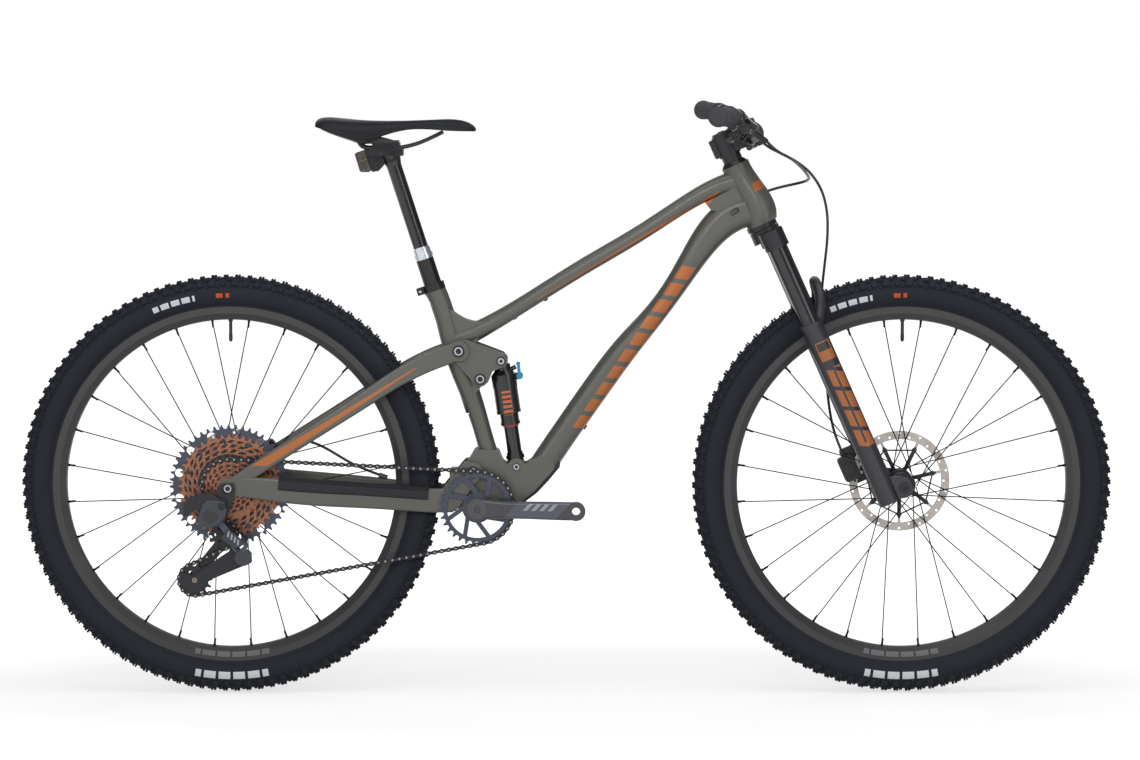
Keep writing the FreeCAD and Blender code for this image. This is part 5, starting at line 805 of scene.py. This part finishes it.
def tyre_profile():
    """Closed section of the casing: outside from bead to bead, then the inside."""
    outside = []
    for i in range(41):
        angle = math.radians(-128.0 + 6.4 * i)
        reach, side = casing_point(angle)[:2]
        if reach > RIM_LIP + 0.0015:
            outside.append((reach, side))
    lip = [(RIM_LIP + 0.0012, 0.0164), (RIM_LIP - 0.001, 0.0150), (0.3045, 0.0148), (0.3045, 0.0110)]
    inner = []
    for i in range(17):
        angle = math.radians(112.0 - 14.0 * i)
        inner.append((TYRE_RING + (CASING_HEIGHT - 0.0026) * math.cos(angle),
                      (CASING_HALF_WIDTH - 0.0024) * math.sin(angle)))
    other = [(reach, -side) for reach, side in reversed(lip)]
    return outside + lip + inner + other


def tread_knob(corners, faces, centre, turn, lean, size, twist=0.0):
    """Knob on the casing, at an angle round the wheel and an angle from the crown."""
    reach, side, slope = casing_point(lean)
    radial = Vector((math.cos(turn), 0.0, math.sin(turn)))
    tangent = Vector((-math.sin(turn), 0.0, math.cos(turn)))
    sideways = Vector((0.0, 1.0, 0.0))
    out = radial * math.cos(slope) + sideways * math.sin(slope)
    across = sideways * math.cos(slope) - radial * math.sin(slope)
    origin = centre + radial * reach + sideways * side
    if twist:
        tangent, across = (tangent * math.cos(twist) + across * math.sin(twist),
                           across * math.cos(twist) - tangent * math.sin(twist))
    add_block(corners, faces, origin, tangent, across, out, size)


# lean in degrees and length of the split centre knobs, in even and odd rows
CENTRE_KNOBS = ((14.5, 0.0085), (11.0, 0.0105))
# the row's other knobs: half steps ahead, lean in degrees, twist, length, width and height
OUTER_KNOBS = (
    ((1.0, 31.0, -0.12, (0.0065, 0.0070, 0.0042)), (0.1, 55.0, 0.0, (0.0095, 0.0086, 0.0046)),
     (1.05, 63.0, 0.0, (0.0050, 0.0060, 0.0026))),
    ((1.0, 34.0, 0.22, (0.0090, 0.0070, 0.0044)), (0.1, 55.0, 0.0, (0.0125, 0.0086, 0.0046)),
     (1.05, 63.0, 0.0, (0.0050, 0.0060, 0.0026))),
)


def make_tyre(name, centre, body, mark_angle, pace):
    """Casing and knobs; pace is 1 or -1, the way that the centre knobs are set off."""
    corners, faces = [], []
    lathe(corners, faces, tyre_profile(), centre, Vector((0, 1, 0)), Vector((0, 0, 1)), 220)
    half_step = math.pi / ROWS
    for row in range(ROWS):
        turn = 2.0 * half_step * row
        lean, length = CENTRE_KNOBS[row % 2]
        for side in (-1, 1):
            for half in (-1, 1):
                ahead = half * 0.26 * length / TYRE_RADIUS + pace * 0.3 * half_step
                tread_knob(corners, faces, centre, turn + ahead, math.radians(lean) * side,
                           (0.42 * length, 0.0074, 0.0046))
            for steps, outer_lean, twist, size in OUTER_KNOBS[row % 2]:
                tread_knob(corners, faces, centre, turn + steps * half_step, math.radians(outer_lean) * side,
                           size, twist=twist * side)
    finish = tyre_finish(name + "_rubber", centre, mark_angle)
    return make_piece(name, corners, faces, finish, body, crease=32.0)


front_tread = make_tyre("front_tread_tyre", FRONT_AXLE, "front_wheel", 106.0, 1.0)
rear_tread = make_tyre("rear_tread_tyre", REAR_AXLE, "rear_wheel", 107.0, -1.0)
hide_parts("front_tyre")
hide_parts("rear_tyre")


# ---- spoke nipples and valves

SPOKES = 28
RIM_BED = 0.2935


def make_nipples(name, centre, body):
    corners, faces = [], []
    for i in range(SPOKES):
        angle = math.radians(90.0 + 360.0 / SPOKES * (i + 0.5))
        out = Vector((math.cos(angle), 0.0, math.sin(angle)))
        side = Vector((0.0, 0.0024 * (-1 if i % 2 else 1), 0.0))
        foot = centre + out * RIM_BED + side
        profile = [(0, 0.002), (0.0024, 0.002), (0.0024, -0.003), (0.0019, -0.0036), (0.0019, -0.0125),
                   (0.0013, -0.0135), (0, -0.0135)]
        solid_of_turning(corners, faces, profile, foot, out, Vector((0, 1, 0)), 8)
    make_piece(name, corners, faces, SPOKE, body)


def make_valve(name, centre, body):
    corners, faces = [], []
    out = Vector((0.0, 0.0, 1.0))
    foot = centre + out * RIM_BED
    profile = [(0, 0.001), (0.0042, 0.001), (0.0042, -0.0035), (0.0030, -0.0045), (0.0030, -0.026),
               (0.0034, -0.027), (0.0034, -0.037), (0.0015, -0.040), (0, -0.040)]
    solid_of_turning(corners, faces, profile, foot, out, Vector((0, 1, 0)), 20)
    make_piece(name, corners, faces, ALLOY, body)


make_nipples("front_nipples", FRONT_AXLE, "front_wheel")
make_nipples("rear_nipples", REAR_AXLE, "rear_wheel")
make_valve("front_valve", FRONT_AXLE, "front_wheel")
make_valve("rear_valve", REAR_AXLE, "rear_wheel")


# ---- grips

GRIP_RIBS = 26
GRIP_PITCH = 0.0043


def make_grips():
    corners, faces = [], []
    for side in (-1, 1):
        outer = Vector((BAR_OUTER.x, side * BAR_OUTER.y, BAR_OUTER.z))
        inner = Vector((BAR_INNER.x, side * BAR_INNER.y, BAR_INNER.z))
        axis = (inner - outer).normalized()
        start = axis.cross(Vector((1, 0, 0))).normalized()
        bore = 0.01125
        profile = [(bore, 0.0), (0.0155, 0.0), (0.0176, 0.0012), (0.0176, 0.0062), (0.0162, 0.0080)]
        for i in range(GRIP_RIBS):
            low = 0.0085 + i * GRIP_PITCH
            profile += [(0.0155, low), (0.0163, low + 0.0006), (0.0163, low + 0.0028), (0.0155, low + 0.0034)]
        profile += [(0.0155, 0.1212), (bore, 0.1212)]
        lathe(corners, faces, profile, outer, axis, start, 48)
        clamp = [(bore, 0.1222), (0.0172, 0.1222), (0.0177, 0.1228), (0.0177, 0.1314), (0.0172, 0.1320),
                 (bore, 0.1320)]
        lathe(corners, faces, clamp, outer, axis, start, 48)
        cap = [(0, 0.0002), (0.0110, 0.0002), (0.0150, -0.0004), (0.0154, -0.0010), (0.0148, -0.0030),
               (0.0120, -0.0039), (0.0060, -0.0036), (0, -0.0034)]
        solid_of_turning(corners, faces, cap, outer, axis, start, 48)
    piece = make_piece("ribbed_grips", corners, faces, grip_finish(), "steering")
    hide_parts("grips")


make_grips()


# ---- saddle

# x, top, lower edge, half width, how square the section is
SADDLE_STATIONS = (
    (-0.1600, 1.0055, 1.0010, 0.0060, 2.0),
    (-0.1625, 1.0100, 1.0004, 0.0120, 2.1),
    (-0.1710, 1.0160, 1.0002, 0.0170, 2.2),
    (-0.1850, 1.0212, 1.0002, 0.0198, 2.3),
    (-0.2100, 1.0232, 1.0006, 0.0210, 2.4),
    (-0.2400, 1.0228, 1.0036, 0.0228, 2.5),
    (-0.2700, 1.0215, 1.0046, 0.0262, 2.5),
    (-0.2950, 1.0206, 1.0010, 0.0325, 2.6),
    (-0.3200, 1.0202, 0.9930, 0.0420, 2.7),
    (-0.3420, 1.0204, 0.9850, 0.0520, 2.8),
    (-0.3600, 1.0210, 0.9815, 0.0595, 2.9),
    (-0.3800, 1.0226, 0.9860, 0.0660, 2.9),
    (-0.4000, 1.0246, 0.9935, 0.0700, 2.9),
    (-0.4180, 1.0262, 1.0000, 0.0705, 2.8),
    (-0.4320, 1.0256, 1.0055, 0.0660, 2.6),
    (-0.4400, 1.0225, 1.0080, 0.0590, 2.4),
    (-0.4435, 1.0170, 1.0100, 0.0500, 2.2),
)


SEAM_ANGLE = 1.05
SEAM_DEPTH = 0.0006


def saddle_ring(x, top, edge, half, power):
    """Section of the pad: over the top from one lower edge to the other, then back under."""
    points = []
    steps = 26
    channel = 0.0042 * max(0.0, min(1.0, (x + 0.432) / 0.03)) * max(0.0, min(1.0, (-0.215 - x) / 0.05))
    for i in range(steps + 1):
        angle = math.pi * (i / steps - 0.5)
        spread = abs(math.sin(angle)) ** (2.0 / power)
        y = half * math.copysign(spread, angle)
        z = edge + (top - edge) * abs(math.cos(angle)) ** (2.0 / power)
        z -= channel * math.exp(-(y / 0.0085) ** 2)
        if abs(abs(angle) - SEAM_ANGLE) < 0.06 and half > 0.03:
            z -= SEAM_DEPTH
        points.append(Vector((x, y, z)))
    for share in (0.86, 0.5, 0.0, -0.5, -0.86):
        lift = 0.35 * (top - edge) * (1.0 - share * share)
        points.append(Vector((x, half * share, edge + 0.0008 + lift)))
    return points


def make_saddle():
    corners, faces = [], []
    loft(corners, faces, [saddle_ring(*station) for station in SADDLE_STATIONS])
    piece = make_piece("saddle_pad", corners, faces, saddle_finish(), None, crease=75.0)
    smooth = piece.modifiers.new("smooth", "SUBSURF")
    smooth.levels = 1
    smooth.render_levels = 1
    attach(piece, "seatpost")
    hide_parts("saddle")


# x, top, lower edge, half width of the shell that takes the rails' rear ends
SADDLE_SHELL = (
    (-0.3500, 0.9900, 0.9790, 0.030),
    (-0.3620, 0.9960, 0.9774, 0.037),
    (-0.3800, 1.0020, 0.9838, 0.046),
    (-0.4000, 1.0060, 0.9905, 0.052),
    (-0.4180, 1.0080, 0.9975, 0.052),
    (-0.4320, 1.0100, 1.0040, 0.046),
)


def squared(value, power=0.6):
    """A sine or cosine raised to a power with its sign kept, which squares a circle off."""
    return math.copysign(abs(value) ** power, value)


def shell_ring(x, top, edge, half):
    """Rounded box section of the shell."""
    points = []
    steps = 28
    for i in range(steps):
        angle = 2.0 * math.pi * i / steps
        z = 0.5 * (top + edge) + 0.5 * (top - edge) * squared(math.sin(angle))
        points.append(Vector((x, half * squared(math.cos(angle)), z)))
    return points


def make_saddle_shell():
    corners, faces = [], []
    loft(corners, faces, [shell_ring(*station) for station in SADDLE_SHELL])
    make_piece("saddle_shell", corners, faces, PLASTIC, "seatpost", crease=60.0)


def make_rails():
    """Both rails, bent up into the shell at the rear."""
    work = bmesh.new()
    for side in (-1, 1):
        places = [RAIL_SEAT + Vector((x, side * y, z)) for x, y, z in (
            (0.100, 0.009, 0.0275), (0.066, 0.017, 0.0100), (0.029, 0.022, 0.0), (0.010, 0.022, 0.0),
            (-0.020, 0.022, 0.0), (-0.038, 0.022, 0.0), (-0.046, 0.024, 0.0055), (-0.050, 0.025, 0.0160))]
        mesh = tube_mesh(places, RAIL_RADIUS, ALLOY)[0]
        work.from_mesh(mesh)
        bpy.data.meshes.remove(mesh)
    mesh = bpy.data.meshes.new("rails")
    work.to_mesh(mesh)
    work.free()
    mesh.materials.append(ALLOY)
    piece = put_in_scene("rails", mesh)
    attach(piece, "seatpost")
    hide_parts("saddle_rails")


def make_clamp_wedge():
    """Sloping upper plate of the seat clamp."""
    x, z = RAIL_SEAT.x, RAIL_SEAT.z
    make_cover("clamp_wedge", [
        (x - 0.033, z + 0.0070), (x - 0.033, z + 0.0170), (x - 0.015, z + 0.0195), (x - 0.001, z + 0.0165),
        (x + 0.023, z + 0.0100), (x + 0.023, z + 0.0070),
    ], 0.0235, -0.0235, ALLOY, "seatpost", radius=0.003)


make_saddle()
make_saddle_shell()
make_rails()
make_clamp_wedge()


# ---- derailleur covers and small bolts

def make_cap(name, foot, profile, steps, material, body):
    """Turned cap that faces out on the drive side."""
    corners, faces = [], []
    solid_of_turning(corners, faces, profile, foot, Vector((0, -1, 0)), Vector((1, 0, 0)), steps)
    make_piece(name, corners, faces, material, body)


def make_derailleur_covers():
    """Outer skins of the motor, the outer link and the knuckle."""
    make_cover("motor_cover", [
        (-0.6390, 0.3540), (-0.6182, 0.3550), (-0.6010, 0.3520), (-0.5960, 0.3400), (-0.6010, 0.3230),
        (-0.6107, 0.3120), (-0.6209, 0.3080), (-0.6311, 0.3040), (-0.6520, 0.3170), (-0.6465, 0.3343),
    ], -0.1022, -0.1062, COVER_SLATE, "swingarm", radius=0.006, chamfer=0.0016)
    make_cover("motor_panel", [
        (-0.6330, 0.3400), (-0.6180, 0.3340), (-0.6130, 0.3240), (-0.6210, 0.3160), (-0.6310, 0.3140),
        (-0.6400, 0.3240),
    ], -0.1055, -0.1068, PLASTIC, "swingarm", radius=0.004, chamfer=0.0005)
    make_cover("link_cover", [
        (-0.6085, 0.2890), (-0.5975, 0.3030), (-0.5850, 0.2960), (-0.5700, 0.2840), (-0.5680, 0.2765),
        (-0.5830, 0.2680), (-0.5990, 0.2790),
    ], -0.0975, -0.0998, slate_marks_finish("link_slate", (-0.5965, 0.2960), (-0.5760, 0.2780)),
        "derailleur_outer_link")
    make_cap("knuckle_cover", Vector((KNUCKLE.x, -0.0985, KNUCKLE.z)), [
        (0, 0.0), (0.0150, 0.0), (0.0150, 0.0022), (0.0138, 0.0032), (0.0062, 0.0032), (0.0058, 0.0026),
        (0, 0.0026),
    ], 40, COVER_SLATE, "derailleur_knuckle")
    make_cap("mount_bolt", Vector((HANGER_BOLT.x + 0.0040, -0.1060, HANGER_BOLT.z - 0.0015)), [
        (0, 0.0), (0.0068, 0.0), (0.0068, 0.0014), (0.0062, 0.0020), (0.0034, 0.0020), (0.0030, 0.0008),
        (0, 0.0008),
    ], 28, ALLOY, "swingarm")


def make_tube_bolts():
    """Two accessory bolts under the top tube."""
    corners, faces = [], []
    down = Vector((0.53, 0.0, -0.85)).normalized()
    for x, z in ((-0.0366, 0.7025), (-0.0911, 0.6695)):
        foot = Vector((x, 0.0, z)) - down * 0.006
        profile = [(0, 0.0), (0.0042, 0.0), (0.0042, 0.0072), (0.0034, 0.0082), (0, 0.0082)]
        solid_of_turning(corners, faces, profile, foot, down, Vector((0, 1, 0)), 20)
    make_piece("tube_bolts", corners, faces, ALLOY, "frame")


make_derailleur_covers()
make_tube_bolts()


# ---- brake hoses

HOSE_RADIUS = 0.0025


def make_hose(name, points, node):
    """Mesh tube along the smooth line through a hose's route."""
    mesh, path = tube_mesh(points, HOSE_RADIUS, HOSE)
    piece = put_in_scene(name, mesh)
    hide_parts(node)
    return piece


FRONT_ROUTE = [
    (0.3453, 0.1874, 0.9873), (0.3614, 0.1682, 0.9704), (0.390, 0.135, 0.957), (0.415, 0.119, 0.944),
    (0.440, 0.105, 0.924), (0.460, 0.092, 0.892), (0.469, 0.088, 0.852), (0.469, 0.087, 0.807),
    (0.464, 0.088, 0.760), (0.459, 0.091, 0.712), (0.458, 0.094, 0.664), (0.462, 0.095, 0.617),
    (0.467, 0.093, 0.572), (0.470, 0.086, 0.530), (0.474, 0.070, 0.491), (0.4821, 0.048, 0.4526),
    (0.4951, 0.048, 0.4233),
]
REAR_ROUTE = [
    (0.3453, -0.1874, 0.9873), (0.3614, -0.1682, 0.9704), (0.390, -0.134, 0.957), (0.404, -0.101, 0.946),
    (0.416, -0.066, 0.935), (0.425, -0.028, 0.925), (0.431, 0.006, 0.917), (0.426, 0.035, 0.911),
    (0.408, 0.051, 0.906), (0.385, 0.053, 0.901), (0.363, 0.050, 0.895), (0.343, 0.049, 0.887),
    (0.316, 0.036, 0.871), (0.3020, 0.028, 0.8635),
]
TAIL_ROUTE = [
    (-0.337, 0.056, 0.3835), (-0.35005, 0.056, 0.3883), (-0.386, 0.0575, 0.403), (-0.417, 0.059, 0.422),
    (-0.440, 0.060, 0.435), (-0.462, 0.060, 0.4435), (-0.482, 0.0605, 0.4475), (-0.5007, 0.063, 0.4439),
    (-0.5120, 0.063, 0.4357),
]
front_hose = make_hose("front_brake_line", FRONT_ROUTE, "front_brake_hose")
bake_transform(front_hose)
rear_hose = make_hose("rear_brake_line", REAR_ROUTE, "rear_brake_hose")
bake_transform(rear_hose)
tail_hose = make_hose("rear_brake_line_end", TAIL_ROUTE, "rear_hose_tail")
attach(tail_hose, "swingarm")


# ---- chain

def make_chain():
    """The links, one copy of the CAD chain with the chain finish."""
    mesh = nodes["chain"].data.copy()
    mesh.materials.clear()
    mesh.materials.append(CHAIN)
    piece = put_in_scene("drive_chain", mesh)
    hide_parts("chain")
    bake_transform(piece)


make_chain()
